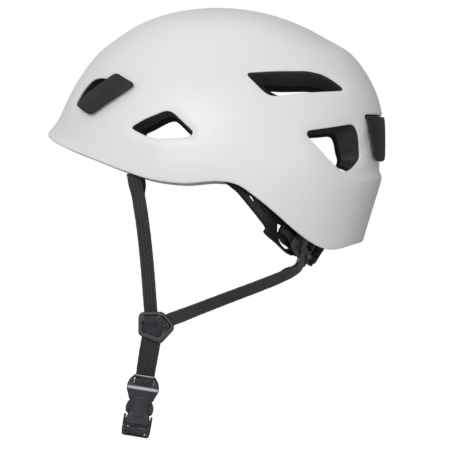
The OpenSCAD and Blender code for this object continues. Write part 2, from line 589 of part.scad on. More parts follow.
module dial_knob() {
    color(plastic_black) in_cradle() translate([0, 0, dial_z]) rotate([0, 90, 0]) difference() {
        translate([0, 0, knob_x]) linear_extrude(knob_back - knob_x) difference() {
            circle(r = dial_r, $fn = 96);
            for (k = [0:17]) rotate(20 * k) translate([dial_r + 1.1, 0]) circle(r = 2, $fn = 24);
        }
        translate([0, 0, knob_x - 1]) cylinder(r = dial_r - 3.4, h = 3.4);
        for (k = [0:35]) rotate(10 * k) translate([dial_r - 3.4, 0, knob_x - 1]) cylinder(r = 0.6,
            h = 3.4, $fn = 4);
        translate([0, 0, knob_x - 1]) cylinder(r = 3.8, h = 3.6);
        translate([0, 0, knob_x]) cylinder(r = 1.5, h = 4.8);
        for (k = [0:2]) rotate(120 * k) translate([10.5, 0, knob_back - 1.2]) cylinder(r = 3.4, h = 5);
    }
}
module dial_screw() {
    color(steel) in_cradle() translate([0, 0, dial_z]) rotate([0, 90, 0]) {
        translate([0, 0, 100]) cylinder(r = 3, h = 2.2);
        translate([0, 0, 102]) cylinder(r = 1.4, h = 13);
    }
}
module detent_spring() {
    color(steel) in_cradle() translate([0, 0, dial_z]) rotate([0, 90, 0])
        translate([0, 0, cover_x + 2.15]) linear_extrude(1.2) {
        difference() {
            circle(r = 14);
            circle(r = 12.8);
            translate([-20, -30]) square([40, 24]);
        }
        for (s = [0, 1]) mirror([s, 0]) translate([12.2, -7.2]) polygon([[0, 0], [3.4, 1.6], [3.5, 2.4],
            [0, 3.4]]);
        translate([-7, 9]) square([14, 4.4]);
    }
}
module cradle_pad() {
    color(pad_grey) in_cradle() rear_plate(floor_x - 5.2, 5, 3);
}

// ---------------------------------------------------------------- the whole helmet
for (i = [0, 1]) {
    s = SIDES[i];
    one_side(i) temple_pad();
    one_side(i) lamp_clip(FRONT_CLIP, 0.16, 0.66,
        0.11, clip_gap);
    one_side(i) lamp_clip(REAR_CLIP, 0.2, 0.8, 0.055,
        clip_gap - channel_d);
    one_side(i) pivot_stud();
    one_side(i) front_anchor();
    one_side(i) rear_anchor();
    front_strap(s);
    rear_strap(s);
    strap_divider(s);
    buckle_prong(s);
    headband_arm(s);
}
outer_shell();
foam_liner();
brow_pad();
crown_pad();
lower_strap_left();
chin_strap();
strap_keeper();
buckle_socket();
buckle_insert();
cradle_yoke();
cradle_pad();
dial_cover();
cover_screws();
dial_knob();
dial_pinion();
dial_screw();
detent_spring();
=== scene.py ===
"""Looks of the climbing helmet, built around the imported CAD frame. Sizes are millimetres until a mesh is made."""
import json
import math

import bmesh
import bpy
import numpy as np
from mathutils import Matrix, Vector


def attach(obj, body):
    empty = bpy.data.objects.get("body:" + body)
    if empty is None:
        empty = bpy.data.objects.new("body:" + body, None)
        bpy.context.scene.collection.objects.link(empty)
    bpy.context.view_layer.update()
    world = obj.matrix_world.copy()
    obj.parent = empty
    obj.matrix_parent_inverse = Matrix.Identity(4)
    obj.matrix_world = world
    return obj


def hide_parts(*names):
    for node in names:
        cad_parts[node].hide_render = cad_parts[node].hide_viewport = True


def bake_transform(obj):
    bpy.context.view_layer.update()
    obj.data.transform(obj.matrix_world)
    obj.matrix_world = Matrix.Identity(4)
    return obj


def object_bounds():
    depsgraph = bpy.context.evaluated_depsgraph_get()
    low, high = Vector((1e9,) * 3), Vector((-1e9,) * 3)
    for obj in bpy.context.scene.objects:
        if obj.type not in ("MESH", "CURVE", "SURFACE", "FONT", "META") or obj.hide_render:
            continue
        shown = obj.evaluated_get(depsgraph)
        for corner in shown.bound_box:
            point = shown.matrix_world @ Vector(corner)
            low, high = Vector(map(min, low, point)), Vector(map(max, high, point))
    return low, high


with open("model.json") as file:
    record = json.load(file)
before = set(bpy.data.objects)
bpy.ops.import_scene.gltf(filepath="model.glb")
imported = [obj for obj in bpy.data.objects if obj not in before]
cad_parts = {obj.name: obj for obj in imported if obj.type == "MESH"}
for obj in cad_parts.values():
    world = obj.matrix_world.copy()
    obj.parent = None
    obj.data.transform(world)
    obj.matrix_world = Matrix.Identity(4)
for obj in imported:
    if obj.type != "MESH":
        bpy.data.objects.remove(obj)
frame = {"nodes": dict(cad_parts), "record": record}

cad_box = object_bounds()
MM = 0.001
SIDES = ("left", "right")

# ---- the shell's surface, as in the CAD
CROWN = 153.0
PLAN_X = -5.0
PLAN_SQUARE = 0.035
PEAK_KICK = 6.0
CHANNEL_D = 3.0
CHANNEL_TOP = 60.0
CHANNEL_FOOT = 5.0
SHELL_T = 2.5
LINER_T = 12.0
LEVEL_ROWS = [
    (CROWN, 0, 0, 0), (146, 48.5, 49.5, 40), (136, 72, 76, 60), (125, 88.5, 96.5, 74),
    (114, 102.5, 115, 84), (98, 115.5, 128.3, 94), (80, 126.5, 137.8, 101.5),
    (62, 135, 143, 106), (44, 141.5, 144.3, 108.5), (20, 146, 144, 109.5),
    (5, 148, 143, 109), (-25, 150, 134, 106), (-60, 151, 123.6, 101),
]
RIM = [
    (0, 44.4), (20, 36.5), (42, 23.5), (58, 10.5), (68, 2.8), (79, -0.8), (90, 1), (97, -2),
    (104, -13), (121, -42), (131, -53.5), (140, -57), (156, -53), (180, -49.4),
]
LINER_RIM = [(0, 58), (42, 37), (68, 17), (90, 12), (125, 10), (180, 14)]


def smooth(lo, hi, x):
    s = np.clip((x - lo) / (hi - lo), 0, 1)
    return s * s * (3 - 2 * s)


def curve(table, x, column=1):
    """Cubic curve through one column of a table whose first column is x."""
    t = np.asarray(table, float)
    xs = t[:, 0]
    i = np.clip(np.searchsorted(xs, x, side="left") - 1, 0, len(t) - 2)
    before = np.maximum(np.arange(len(t)) - 1, 0)
    after = np.minimum(np.arange(len(t)) + 1, len(t) - 1)
    slope = (t[after, column] - t[before, column]) / (xs[after] - xs[before])
    h = xs[i + 1] - xs[i]
    s = (x - xs[i]) / h
    return ((2 * s**3 - 3 * s**2 + 1) * t[i, column] + (s**3 - 2 * s**2 + s) * slope[i] * h
            + (3 * s**2 - 2 * s**3) * t[i + 1, column] + (s**3 - s**2) * slope[i + 1] * h)


def depth_of(z):
    return np.sqrt(np.maximum(CROWN - np.asarray(z, float), 0) / 100)


LEVELS = [(float(depth_of(r[0])),) + r[1:] for r in LEVEL_ROWS]


def unit(v):
    return v / np.maximum(np.linalg.norm(v, axis=-1, keepdims=True), 1e-9)


def cosd(a):
    return np.cos(np.radians(a))


def sind(a):
    return np.sin(np.radians(a))


def from_brow(u):
    return np.abs(180 - (u % 360 + 360) % 360)


def plan_gain(u):
    return 1 + PLAN_SQUARE * (1 - cosd(4 * u)) / 2


def relief(z, u):
    v = from_brow(u)
    up = z - curve(RIM, v)
    kick = PEAK_KICK * (1 - smooth(8, 62, v)) * np.maximum(0, 1 - up / 20) ** 2.5
    foot = CHANNEL_FOOT - 8 * (1 - smooth(125, 175, v))
    dip_top = smooth(145, 158, v) * (1 - smooth(CHANNEL_TOP - 3, CHANNEL_TOP, z))
    dip_foot = smooth(118, 150, v) * smooth(0, 7, z - foot)
    waist = 0.9 * smooth(62, 72, v) * (1 - smooth(105, 118, v)) * (1 - smooth(36, 40, z))
    return kick + waist - CHANNEL_D * np.minimum(dip_top + (1 - smooth(20, 50, z)) * dip_foot, 1) * dip_foot


def skin(z, u, k=1):
    """Point of the outer surface at height z and angle u, where u is 0 at the nape."""
    q = depth_of(z)
    gain = plan_gain(u)
    reach = np.where(cosd(u) > 0, curve(LEVELS, q, 2), curve(LEVELS, q, 1))
    r = k * relief(z, u)
    return np.stack([PLAN_X + (reach * gain + r) * cosd(u), (curve(LEVELS, q, 3) * gain + r) * sind(u),
                     z + 0 * u], -1)


def skin_normal(z, u, k=1):
    n = unit(np.cross(skin(z, u - 0.5, k) - skin(z, u + 0.5, k), skin(z - 0.5, u, k) - skin(z + 0.5, u, k)))
    return np.where((z > CROWN - 0.01)[..., None], np.array([0.0, 0.0, 1.0]), n)


def over_skin(z, u, off, k=1):
    return skin(z, u, k) + skin_normal(z, u, k) * np.reshape(off, np.shape(off) + (1,))


def skin_point(z, u, off=0.0, k=1):
    return over_skin(np.array([z]), np.array([u]), off, k)[0]


def azimuth(x, z):
    """Angle on the wearer's left at which the surface is at x, for height z."""
    u = 60.0
    for _ in range(4):
        reach = curve(LEVELS, depth_of(z), 2 if x > PLAN_X else 1)
        u = math.degrees(math.acos(min(1, max(-1, (x - PLAN_X) / (reach * plan_gain(u))))))
    return -u


def soften(points, r, n=7):
    """An outline with each corner turned into a short curve that starts r from it."""
    pts = np.asarray(points, float)
    out = []
    for i, p in enumerate(pts):
        a, b = pts[i - 1], pts[(i + 1) % len(pts)]
        pa = p + unit(a - p) * min(r, np.linalg.norm(a - p) * 0.45)
        pb = p + unit(b - p) * min(r, np.linalg.norm(b - p) * 0.45)
        for s in np.linspace(0, 1, n + 1):
            out.append((pa * (1 - s) + p * s) * (1 - s) + (p * (1 - s) + pb * s) * s)
    return np.array(out)


# ---- vents
FRONT_VENT = [(-79, 46.7), (-66, 54.2), (-48, 61.3), (-42.5, 59.6), (-25, 42.8), (-27, 39.6),
              (-38, 37.4), (-55, 37), (-66, 39.8)]
TOP_VENT = [(19, 93.3), (46, 94.9), (72, 95.4), (85, 92.7), (95, 87.2), (105, 79.2), (70.6, 76.8),
            (43, 73.4), (36.5, 75.6)]
NAPE_VENT = [(71.5, 44), (112.5, 50.6), (116.5, 43), (119.5, 33), (121.3, 21), (112, 11.3),
             (104, 9), (92.5, 18.2), (72, 39.5)]
LAMP_SLOT = [(-128.6, 66.6), (-121, 80), (-113.5, 88), (-108, 90), (-99.6, 89.6), (-96, 84.5),
             (-117, 65.4)]
# Skin points over the inner mouth of each duct through the liner, one for each corner of its vent
FRONT_DUCT = [(-74, 46.5), (-66.3, 49.6), (-51, 58), (-44, 59.6), (-28.4, 44), (-29.5, 39.4),
              (-40, 37.4), (-58.5, 38.8), (-70.6, 39.4)]
TOP_DUCT = [(36.5, 89.4), (51.7, 87.3), (78.3, 87.6), (87.3, 87.3), (95.3, 85.3), (101, 79.7), (76, 74.7),
            (49.5, 78.6), (41, 85)]
NAPE_DUCT = [(81.7, 42), (103.7, 42.5), (108, 36.7), (112.2, 28.7), (116.8, 21.4), (113, 15.8),
             (108.4, 12), (98, 17.4), (76.6, 37.7)]
# Each opening: side-view outline, turn of the cut, corner softness, and its duct through the liner
VENTS = [(FRONT_VENT, -8, 4, FRONT_DUCT), (TOP_VENT, 12, 5, TOP_DUCT), (NAPE_VENT, 38, 5, NAPE_DUCT),
         (LAMP_SLOT, -50, 3.5, None)]
SLOT_ROOM = 2.0
REAR_SLOT_TOP = 58.8
DEG_AT_NAPE = 2.4       # millimetres of skin for a degree of u, at the rear slots


def beside_edges(p, outline):
    """The edges of a closed outline, and for each point of p its nearest share of each and its squared gap."""
    d = np.roll(outline, -1, 0) - outline
    w = p[:, None, :] - outline[None]
    t = np.clip((w * d).sum(2) / np.maximum((d * d).sum(1), 1e-12), 0, 1)
    return d, t, ((w - t[..., None] * d) ** 2).sum(2)


def signed_distance(p, outline):
    """Distance of each point of p from a closed outline, negative inside it."""
    a = outline
    d, _, gap = beside_edges(p, outline)
    dist = np.sqrt(gap.min(1))
    b = a + d
    spans = (a[:, 1] <= p[:, None, 1]) != (b[:, 1] <= p[:, None, 1])
    rise = np.where(np.abs(d[:, 1]) < 1e-12, 1e-12, d[:, 1])
    crossing = a[:, 0] + (p[:, None, 1] - a[:, 1]) * d[:, 0] / rise
    inside = (spans & (p[:, None, 0] < crossing)).sum(1) % 2 == 1
    return np.where(inside, -dist, dist)


def vent_plane(points, turn):
    """Side-on coordinates of 3D points, seen square to a vent's cut, with both sides folded to the left."""
    return np.stack([points[:, 0] * cosd(turn) - np.abs(points[:, 1]) * sind(turn), points[:, 2]], 1)


def vent_outline(vent):
    pts = np.array([skin(np.float64(z), np.float64(azimuth(x, z))) for x, z in soften(vent[0], vent[2])])
    return vent_plane(pts, vent[1])


OUTLINES = [vent_outline(v) for v in VENTS]


def vent_distances(z, u, in_liner):
    """Signed distance over the skin from every vent and from the rear clip slots, one column each."""
    p = skin(z, u)
    grow = SLOT_ROOM if in_liner else 0.0
    columns = [signed_distance(vent_plane(p, v[1]), o) - (grow if v[3] is None else 0)
               for v, o in zip(VENTS, OUTLINES)]
    across = np.abs((u + 180) % 360 - 180)
    box = np.stack([(np.abs(across - 18) - 12) * DEG_AT_NAPE - grow, np.abs(z - REAR_SLOT_TOP + 2) - 2 - grow], 1)
    columns.append(np.where(box.max(1) > 0, np.linalg.norm(np.maximum(box, 0), axis=1), box.max(1)))
    return np.stack(columns, 1)


# ---- sheets cut from a grid on the skin
def clip_grid(zu, cells, distance, keep):
    """The part of a grid where distance(z, u) is at least keep, with its border cells cut along that line."""
    zu = zu.copy()
    sd = distance(zu[:, 0], zu[:, 1]) - keep
    near = np.abs(sd) < 0.35
    if near.any():
        z, u = zu[near].T
        grad = np.stack([(distance(z + 0.1, u) - distance(z - 0.1, u)) / 0.2,
                         (distance(z, u + 0.1) - distance(z, u - 0.1)) / 0.2], 1)
        size = (grad**2).sum(1)
        zu[near] -= np.clip(sd[near] / np.maximum(size, 1e-3), -1.2, 1.2)[:, None] * grad
        sd[near] = 0
    extra, made, faces = [], {}, []
    for cell in cells:
        s = sd[list(cell)]
        if s.min() >= 0:
            faces.append(list(cell))
            continue
        if s.max() <= 0:
            continue
        out = []
        for a, b in zip(cell, cell[1:] + cell[:1]):
            if sd[a] >= 0:
                out.append(a)
            if sd[a] * sd[b] < 0:
                key = (min(a, b), max(a, b))
                if key not in made:
                    t = sd[key[0]] / (sd[key[0]] - sd[key[1]])
                    made[key] = len(zu) + len(extra)
                    extra.append(zu[key[0]] * (1 - t) + zu[key[1]] * t)
                out.append(made[key])
        if len(out) > 2:
            faces.append(out)
    zu = np.vstack([zu, np.array(extra).reshape(-1, 2)])
    used = sorted({i for f in faces for i in f})
    place = {old: new for new, old in enumerate(used)}
    return zu[used], [[place[i] for i in f] for f in faces]


def border_loops(faces):
    """Closed loops of border vertices, each in the direction of the faces beside it."""
    edges = {(a, b) for f in faces for a, b in zip(f, f[1:] + f[:1])}
    follow = {a: b for a, b in edges if (b, a) not in edges}
    loops = []
    while follow:
        start = next(iter(follow))
        loop, at = [start], follow.pop(start)
        while at != start and at in follow:
            loop.append(at)
            at = follow.pop(at)
        if len(loop) > 3:
            loops.append(loop)
    return loops


def thick_sheet(top, bottom, normals, faces, nose, steps=3):
    """Closes a sheet with a rounded edge of radius nose round its borders. Returns vertices and faces."""
    verts = [top, bottom]
    n = len(top)
    out = [list(f) for f in faces] + [[i + n for i in reversed(f)] for f in faces]
    count = 2 * n
    for loop in border_loops(faces):
        p, q, nrm = top[loop], bottom[loop], normals[loop]
        tangent = np.roll(p, -2, 0) - np.roll(p, 2, 0)
        side = unit(np.cross(tangent, nrm))
        side = unit(side + np.roll(side, 1, 0) + np.roll(side, -1, 0))
        down = unit(q - p)
        rings = [p + side * nose * math.sin(a) + down * nose * (1 - math.cos(a))
                 for a in np.linspace(0, math.pi / 2, steps + 1)[1:]]
        rings += [q + side * nose * math.cos(b) - down * nose * (1 - math.sin(b))
                  for b in np.linspace(0, math.pi / 2, steps + 1)[:-1]]
        ids = [np.array(loop)]
        for ring in rings:
            verts.append(ring)
            ids.append(np.arange(count, count + len(loop)))
            count += len(loop)
        ids.append(np.array(loop) + n)
        for a, b in zip(ids, ids[1:]):
            for j in range(len(loop)):
                k = (j + 1) % len(loop)
                out.append([a[k], a[j], b[j], b[k]])
    return np.vstack(verts), out


def grid_cells(across, down):
    return [[j * across + i, j * across + i + 1, (j + 1) * across + i + 1, (j + 1) * across + i]
            for j in range(down - 1) for i in range(across - 1)]


def dome_grid(edge, around, down):
    """Grid of (z, u) from the crown down to an edge table, and its cells seen from outside."""
    u = np.tile(np.arange(around) * 360.0 / around, down)
    i = np.repeat(np.arange(1, down + 1), around)
    z = CROWN - (CROWN - curve(edge, from_brow(u))) * (1 - np.cos(np.pi / 2 * i / down))
    zu = np.vstack([[CROWN, 0.0], np.stack([z, u], 1)])
    cells = [(0, 1 + j, 1 + (j + 1) % around) for j in range(around)]
    for r in range(down - 1):
        for j in range(around):
            k = (j + 1) % around
            a, b = 1 + r * around, 1 + (r + 1) * around
            cells.append((a + j, b + j, b + k, a + k))
    return zu, cells


# ---- materials
def set_sockets(node, values):
    for name, value in values.items():
        node.inputs[name].default_value = value


class Nodes:
    """A small builder: each method adds a node to a tree and returns the socket that comes out of it."""

    def __init__(self, tree):
        self.tree = tree

    def add(self, kind, **props):
        node = self.tree.nodes.new("ShaderNode" + kind)
        for k, v in props.items():
            setattr(node, k, v)
        return node

    def plug(self, node, name, value):
        if isinstance(value, bpy.types.NodeSocket):
            self.tree.links.new(value, node.inputs[name])
        else:
            node.inputs[name].default_value = value

    def math(self, op, a, b=0.0):
        node = self.add("Math", operation=op)
        self.plug(node, 0, a)
        self.plug(node, 1, b)
        return node.outputs[0]

    def times(self, a, b):
        return self.math("MULTIPLY", a, b)

    def plus(self, a, b):
        return self.math("ADD", a, b)

    def remap(self, value, lo, hi, out_lo, out_hi):
        node = self.add("MapRange")
        self.plug(node, "Value", value)
        set_sockets(node, {"From Min": lo, "From Max": hi, "To Min": out_lo, "To Max": out_hi})
        return node.outputs["Result"]


class Shader(Nodes):
    """A material's nodes, laid out in the object's own coordinates."""

    def __init__(self, name, **sockets):
        self.mat = bpy.data.materials.new(name)
        self.mat.use_nodes = True
        super().__init__(self.mat.node_tree)
        self.bsdf = self.tree.nodes["Principled BSDF"]
        set_sockets(self.bsdf, {k.replace("_", " "): v for k, v in sockets.items()})
        self.place = self.add("TexCoord").outputs["Object"]

    def noise(self, scale, detail):
        node = self.add("TexNoise")
        set_sockets(node, {"Scale": scale, "Detail": detail, "Roughness": 0.55})
        self.plug(node, "Vector", self.place)
        return node.outputs["Fac"]

    def cells(self, scale, feature="F1"):
        node = self.add("TexVoronoi", feature=feature)
        set_sockets(node, {"Scale": scale})
        self.plug(node, "Vector", self.place)
        return node.outputs["Distance"]

    def mix(self, factor, a, b):
        node = self.add("Mix", data_type="RGBA")
        self.plug(node, 0, factor)
        self.plug(node, 6, a)
        self.plug(node, 7, b)
        return node.outputs[2]

    def bump(self, height, depth, under=None):
        node = self.add("Bump")
        set_sockets(node, {"Strength": 1.0, "Distance": depth * MM})
        self.plug(node, "Height", height)
        if under is not None:
            self.plug(node, "Normal", under)
        return node.outputs["Normal"]

    def edges(self):
        """1 on convex edges, where rubbed wear and a painted highlight go, 0 elsewhere."""
        return self.remap(self.add("NewGeometry").outputs["Pointiness"], 0.52, 0.62, 0.0, 1.0)

    def finish(self, colour=None, roughness=None, normal=None):
        for name, value in (("Base Color", colour), ("Roughness", roughness), ("Normal", normal)):
            if value is not None:
                self.plug(self.bsdf, name, value)
        return self.mat


def rgb(r, g, b):
    return (r, g, b, 1.0)


def tint(base, k):
    return rgb(*[c * k for c in base])


def shell_material():
    """Satin white injection-moulded plastic with a faint orange peel and handling marks."""
    s = Shader("shell_plastic", IOR=1.5, Coat_Weight=0.12, Coat_Roughness=0.3)
    cloud = s.noise(14, 4)
    colour = s.mix(cloud, rgb(0.80, 0.80, 0.825), rgb(0.835, 0.835, 0.855))
    colour = s.mix(s.remap(s.noise(420, 2), 0.62, 0.75, 0.0, 0.12), colour, rgb(0.70, 0.70, 0.72))
    peel = s.bump(s.noise(330, 2), 0.035)
    fine = s.bump(s.noise(1900, 2), 0.012, under=peel)
    return s.finish(colour, s.remap(cloud, 0.3, 0.7, 0.34, 0.43), fine)


def plastic_material(name, base, rough, grain=1100, depth=0.03, edge_wear_and_highlight=1.6, shine=0.5):
    """Black moulded plastic: fine spark texture, slight cloudiness, and paler convex edges, partly rubbed wear and
    partly a painted highlight.
    """
    s = Shader(name, IOR=1.5, Specular_IOR_Level=shine)
    texture = s.cells(grain)
    cloud = s.noise(60, 4)
    pale = rgb(*[min(1, c * edge_wear_and_highlight + 0.012) for c in base])
    colour = s.mix(s.remap(cloud, 0.35, 0.7, 0.0, 1.0), tint(base, 0.85), tint(base, 1.15))
    # Convex edges painted paler: rubbed wear, and a painted highlight where light would catch the bevels.
    colour = s.mix(s.times(s.edges(), 0.7), colour, pale)
    roughness = s.remap(s.noise(220, 3), 0.3, 0.7, rough - 0.06, rough + 0.07)
    return s.finish(colour, roughness, s.bump(texture, depth, under=s.bump(s.noise(180, 3), 0.02)))


def foam_material():
    """Black expanded-bead foam: fused round beads with tight seams and a few open pits."""
    s = Shader("foam", IOR=1.45)
    bead = s.cells(330, "SMOOTH_F1")
    seam = s.cells(330, "DISTANCE_TO_EDGE")
    pits = s.remap(s.noise(700, 2), 0.68, 0.76, 0.0, 1.0)
    colour = s.mix(s.remap(seam, 0.0, 0.12, 1.0, 0.0), rgb(0.015, 0.015, 0.016), rgb(0.006, 0.006, 0.007))
    colour = s.mix(s.noise(420, 1), colour, rgb(0.02, 0.02, 0.021))
    height = s.math("SUBTRACT", s.times(bead, -1.0), s.times(pits, 0.4))
    return s.finish(colour, s.remap(s.noise(500, 2), 0.3, 0.7, 0.5, 0.75), s.bump(height, 0.5))


def webbing_material(name, base, rib=2.9, pick=2.4):
    """Woven polyester webbing: cords across the width that pass over and under, in millimetres of UV."""
    s = Shader(name, IOR=1.45, Sheen_Weight=0.35, Sheen_Roughness=0.45)
    uv = s.add("UVMap", uv_map="UVMap").outputs["UV"]
    split = s.add("SeparateXYZ")
    s.plug(split, 0, uv)
    across, along = split.outputs[0], split.outputs[1]
    column = s.math("DIVIDE", across, rib)
    row = s.plus(s.math("DIVIDE", along, pick), s.times(s.math("PINGPONG", column, 1.0), 1.3))
    cord = s.math("ABSOLUTE", s.math("SINE", s.times(column, math.pi)))
    weft = s.math("ABSOLUTE", s.math("SINE", s.times(row, math.pi)))
    parity = s.math("PINGPONG", s.plus(s.math("FLOOR", column), s.math("FLOOR", row)), 1.0)
    over = s.times(s.math("POWER", cord, 0.6), s.plus(s.times(parity, 0.35), 0.65))
    height = s.times(over, s.plus(s.times(weft, 0.7), 0.3))
    fibre = s.noise(2600, 2)
    # Colour follows the weave's relief: painted shade in the grooves between cords and a painted highlight on their
    # crests.
    colour = s.mix(height, tint(base, 0.12), tint(base, 2.1))
    colour = s.mix(s.remap(s.noise(45, 4), 0.4, 0.75, 0.0, 0.35), colour, tint(base, 1.9))
    full = s.plus(height, s.times(fibre, 0.25))
    return s.finish(colour, s.remap(fibre, 0.3, 0.7, 0.68, 0.85), s.bump(full, 0.28))


def pad_material():
    """Dark brushed knit over foam."""
    s = Shader("pad_fabric", IOR=1.4, Sheen_Weight=0.5, Sheen_Roughness=0.5)
    knit = s.cells(1250, "SMOOTH_F1")
    fuzz = s.noise(2400, 3)
    # Colour follows the knit's relief: loops painted lighter on top, with painted shade towards their edges.
    colour = s.mix(knit, rgb(0.035, 0.035, 0.038), rgb(0.014, 0.014, 0.016))
    colour = s.mix(s.remap(s.noise(90, 4), 0.45, 0.7, 0.0, 0.5), colour, rgb(0.05, 0.05, 0.053))
    height = s.plus(s.times(knit, -1.0), s.times(fuzz, 0.3))
    return s.finish(colour, s.remap(fuzz, 0.3, 0.7, 0.8, 0.95), s.bump(height, 0.25))


def steel_material():
    s = Shader("steel", Metallic=1.0)
    brushed = s.noise(900, 3)
    colour = s.mix(brushed, rgb(0.52, 0.52, 0.54), rgb(0.66, 0.66, 0.67))
    return s.finish(colour, s.remap(brushed, 0.3, 0.7, 0.22, 0.38), s.bump(s.noise(2500, 2), 0.006))


MATS = {
    "shell_plastic": shell_material(),
    "foam": foam_material(),
    "clip_plastic": plastic_material("clip_plastic", (0.0125, 0.0105, 0.0135), 0.6, 1300, 0.03),
    "cradle_plastic": plastic_material("cradle_plastic", (0.004, 0.004, 0.0045), 0.33, 900, 0.02, 2.2, 0.28),
    # Its strong edge factor paints a highlight along its bevels.
    "fitting_plastic": plastic_material("fitting_plastic", (0.030, 0.029, 0.033), 0.38, 1200, 0.02, 3.4),
    "buckle_plastic": plastic_material("buckle_plastic", (0.010, 0.0095, 0.018), 0.44, 1400, 0.025, 2.2),
    # The buckle socket's ridges in light grey: a painted highlight along the ridge.
    "ridge_painted_highlight": plastic_material("ridge_painted_highlight", (0.50, 0.50, 0.56), 0.3, 1400, 0.012, 1.3),
    "webbing": webbing_material("webbing", (0.026, 0.024, 0.030)),
    "pad_fabric": pad_material(),
    "steel": steel_material(),
}


# ---- pieces
def add_object(name, data):
    obj = bpy.data.objects.new(name, data)
    bpy.context.scene.collection.objects.link(obj)
    return obj


def new_mesh(name, verts, faces):
    """A mesh in metres from millimetre vertices."""
    me = bpy.data.meshes.new(name)
    me.from_pydata((np.asarray(verts) * MM).tolist(), [], [[int(i) for i in f] for f in faces])
    return me


def evaluated(obj):
    return obj.evaluated_get(bpy.context.evaluated_depsgraph_get())


def make_piece(name, verts, faces, slot, body, replaces=(), sharp=38, uv=None, look=None):
    """A smooth-shaded mesh from millimetre vertices, in its slot's material or a variant, riding on its body."""
    me = new_mesh(name, verts, faces)
    if uv is not None:
        layer = me.uv_layers.new(name="UVMap")
        index = np.empty(len(me.loops), int)
        me.loops.foreach_get("vertex_index", index)
        layer.data.foreach_set("uv", np.asarray(uv, np.float32)[index].ravel())
    me.polygons.foreach_set("use_smooth", np.ones(len(me.polygons), bool))
    me.set_sharp_from_angle(angle=math.radians(sharp))
    me.materials.append(MATS[look or slot])
    obj = add_object(name, me)
    if replaces:
        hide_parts(*replaces)
    if body:
        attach(obj, body)
    return obj


def flip_y(verts, faces):
    return np.asarray(verts) * [1, -1, 1], [list(reversed(f)) for f in faces]


def on_side(mesh, side):
    return mesh if side == "left" else flip_y(*mesh)


def join_parts(parts):
    """Several (vertices, faces) as one."""
    verts, faces, n = [], [], 0
    for v, f in parts:
        verts.append(np.asarray(v, float))
        faces += [[int(i) + n for i in face] for face in f]
        n += len(v)
    return np.vstack(verts), faces


# ---- shell and liner
SHELL_NOSE = 1.1
DISH_DEPTH = 0.9
DISH_REACH = 6.5
CUT_REACH = 12.0        # the shell's inner side follows each vent's cut within this distance


def vented_dome(rim, nose, around, down, in_liner):
    zu, cells = dome_grid([(v, z + nose) for v, z in rim], around, down)
    return clip_grid(zu, cells, lambda z, u: vent_distances(z, u, in_liner).min(1), nose)


def outer_shell():
    zu, faces = vented_dome(RIM, SHELL_NOSE, 420, 118, False)
    z, u = zu.T
    sd = vent_distances(z, u, False)[:, :-1].min(1)
    dish = DISH_DEPTH * (1 - smooth(SHELL_NOSE, DISH_REACH, sd))
    n = skin_normal(z, u)
    top = skin(z, u) - n * dish[:, None]
    wall = n.copy()
    for vent, d in zip(VENTS, vent_distances(z, u, False).T):
        cut = np.stack([0 * z + sind(vent[1]), cosd(vent[1]) * np.sign(top[:, 1]), 0 * z], 1)
        lean = cut / np.maximum((n * cut).sum(1), 0.35)[:, None]
        wall += (lean - n) * (1 - smooth(2, CUT_REACH, d))[:, None]
    verts, faces = thick_sheet(top, top - wall * SHELL_T, n, faces, SHELL_NOSE)
    make_piece("shell_moulding", verts, faces, "shell_plastic", "shell", ["outer_shell"], sharp=50)


LINER_OUT = -SHELL_T - 0.5
LINER_NOSE = 1.2
DUCT_FADE = 20.0


def angle_at(x, z, side):
    """The skin's angle where it passes x at height z, on the left for side -1 and the right for 1."""
    u = np.full(len(x), 60.0)
    q = depth_of(z)
    for _ in range(5):
        reach = np.where(x > PLAN_X, curve(LEVELS, q, 2), curve(LEVELS, q, 1))
        u = np.degrees(np.arccos(np.clip((x - PLAN_X) / np.maximum(reach * plan_gain(u), 1e-6), -1, 1)))
    return u * side


def duct_shift(vent, x, z):
    """How far the liner's inner side moves over the skin near a vent, and the share of it that applies."""
    outer, inner = soften(vent[0], vent[2]), soften(vent[3], vent[2])
    move = inner - outer
    _, t, gap = beside_edges(np.stack([x, z], 1), outer)
    i = gap.argmin(1)
    s = t[np.arange(len(i)), i][:, None]
    return move[i] * (1 - s) + np.roll(move, -1, 0)[i] * s, 1 - smooth(0, DUCT_FADE, np.sqrt(gap.min(1)))[:, None]


def foam_liner():
    zu, faces = vented_dome(LINER_RIM, LINER_NOSE, 300, 84, True)
    z, u = zu.T
    n = skin_normal(z, u)
    top = skin(z, u) + n * LINER_OUT
    foot = skin(z, u)
    x, low = foot[:, 0], z.copy()
    change, share = np.zeros((len(z), 2)), np.zeros((len(z), 1))
    for vent in VENTS[:3]:
        c, w = duct_shift(vent, x, z)
        change, share = change + c * w * w, share + w
    change /= np.maximum(share, 1e-6)
    moved = (share[:, 0] > 1e-4) & (z < CROWN - 5)
    side = np.where(foot[:, 1] < 0, -1.0, 1.0)
    zi = np.where(moved, z + change[:, 1], z)
    ui = np.where(moved, angle_at(x + change[:, 0], zi, side), u)
    bottom = over_skin(zi, ui, np.full(len(zi), LINER_OUT - LINER_T))
    verts, faces = thick_sheet(top, bottom, n, faces, LINER_NOSE)
    make_piece("bead_foam_liner", verts, faces, "foam", "shell", ["foam_liner"], sharp=50)


# ---- lamp clips
CLIP_GAP = 3.2
CLIP_T = 2.2
CLIP_NOSE = 0.75
FRONT_CLIP = [(z, azimuth(x, z)) for x, z in [(-122.6, 66), (-88.5, 92.3), (-109.8, 56.2), (-71, 81.3)]]
REAR_CLIP = [(57.6, -7), (57.6, -31), (20, -7), (19, -23)]


def patch(corners, s, t):
    c = np.asarray(corners, float)
    return ((c[0] * (1 - s)[:, None] + c[1] * s[:, None]) * (1 - t)[:, None]
            + (c[2] * (1 - s)[:, None] + c[3] * s[:, None]) * t[:, None])


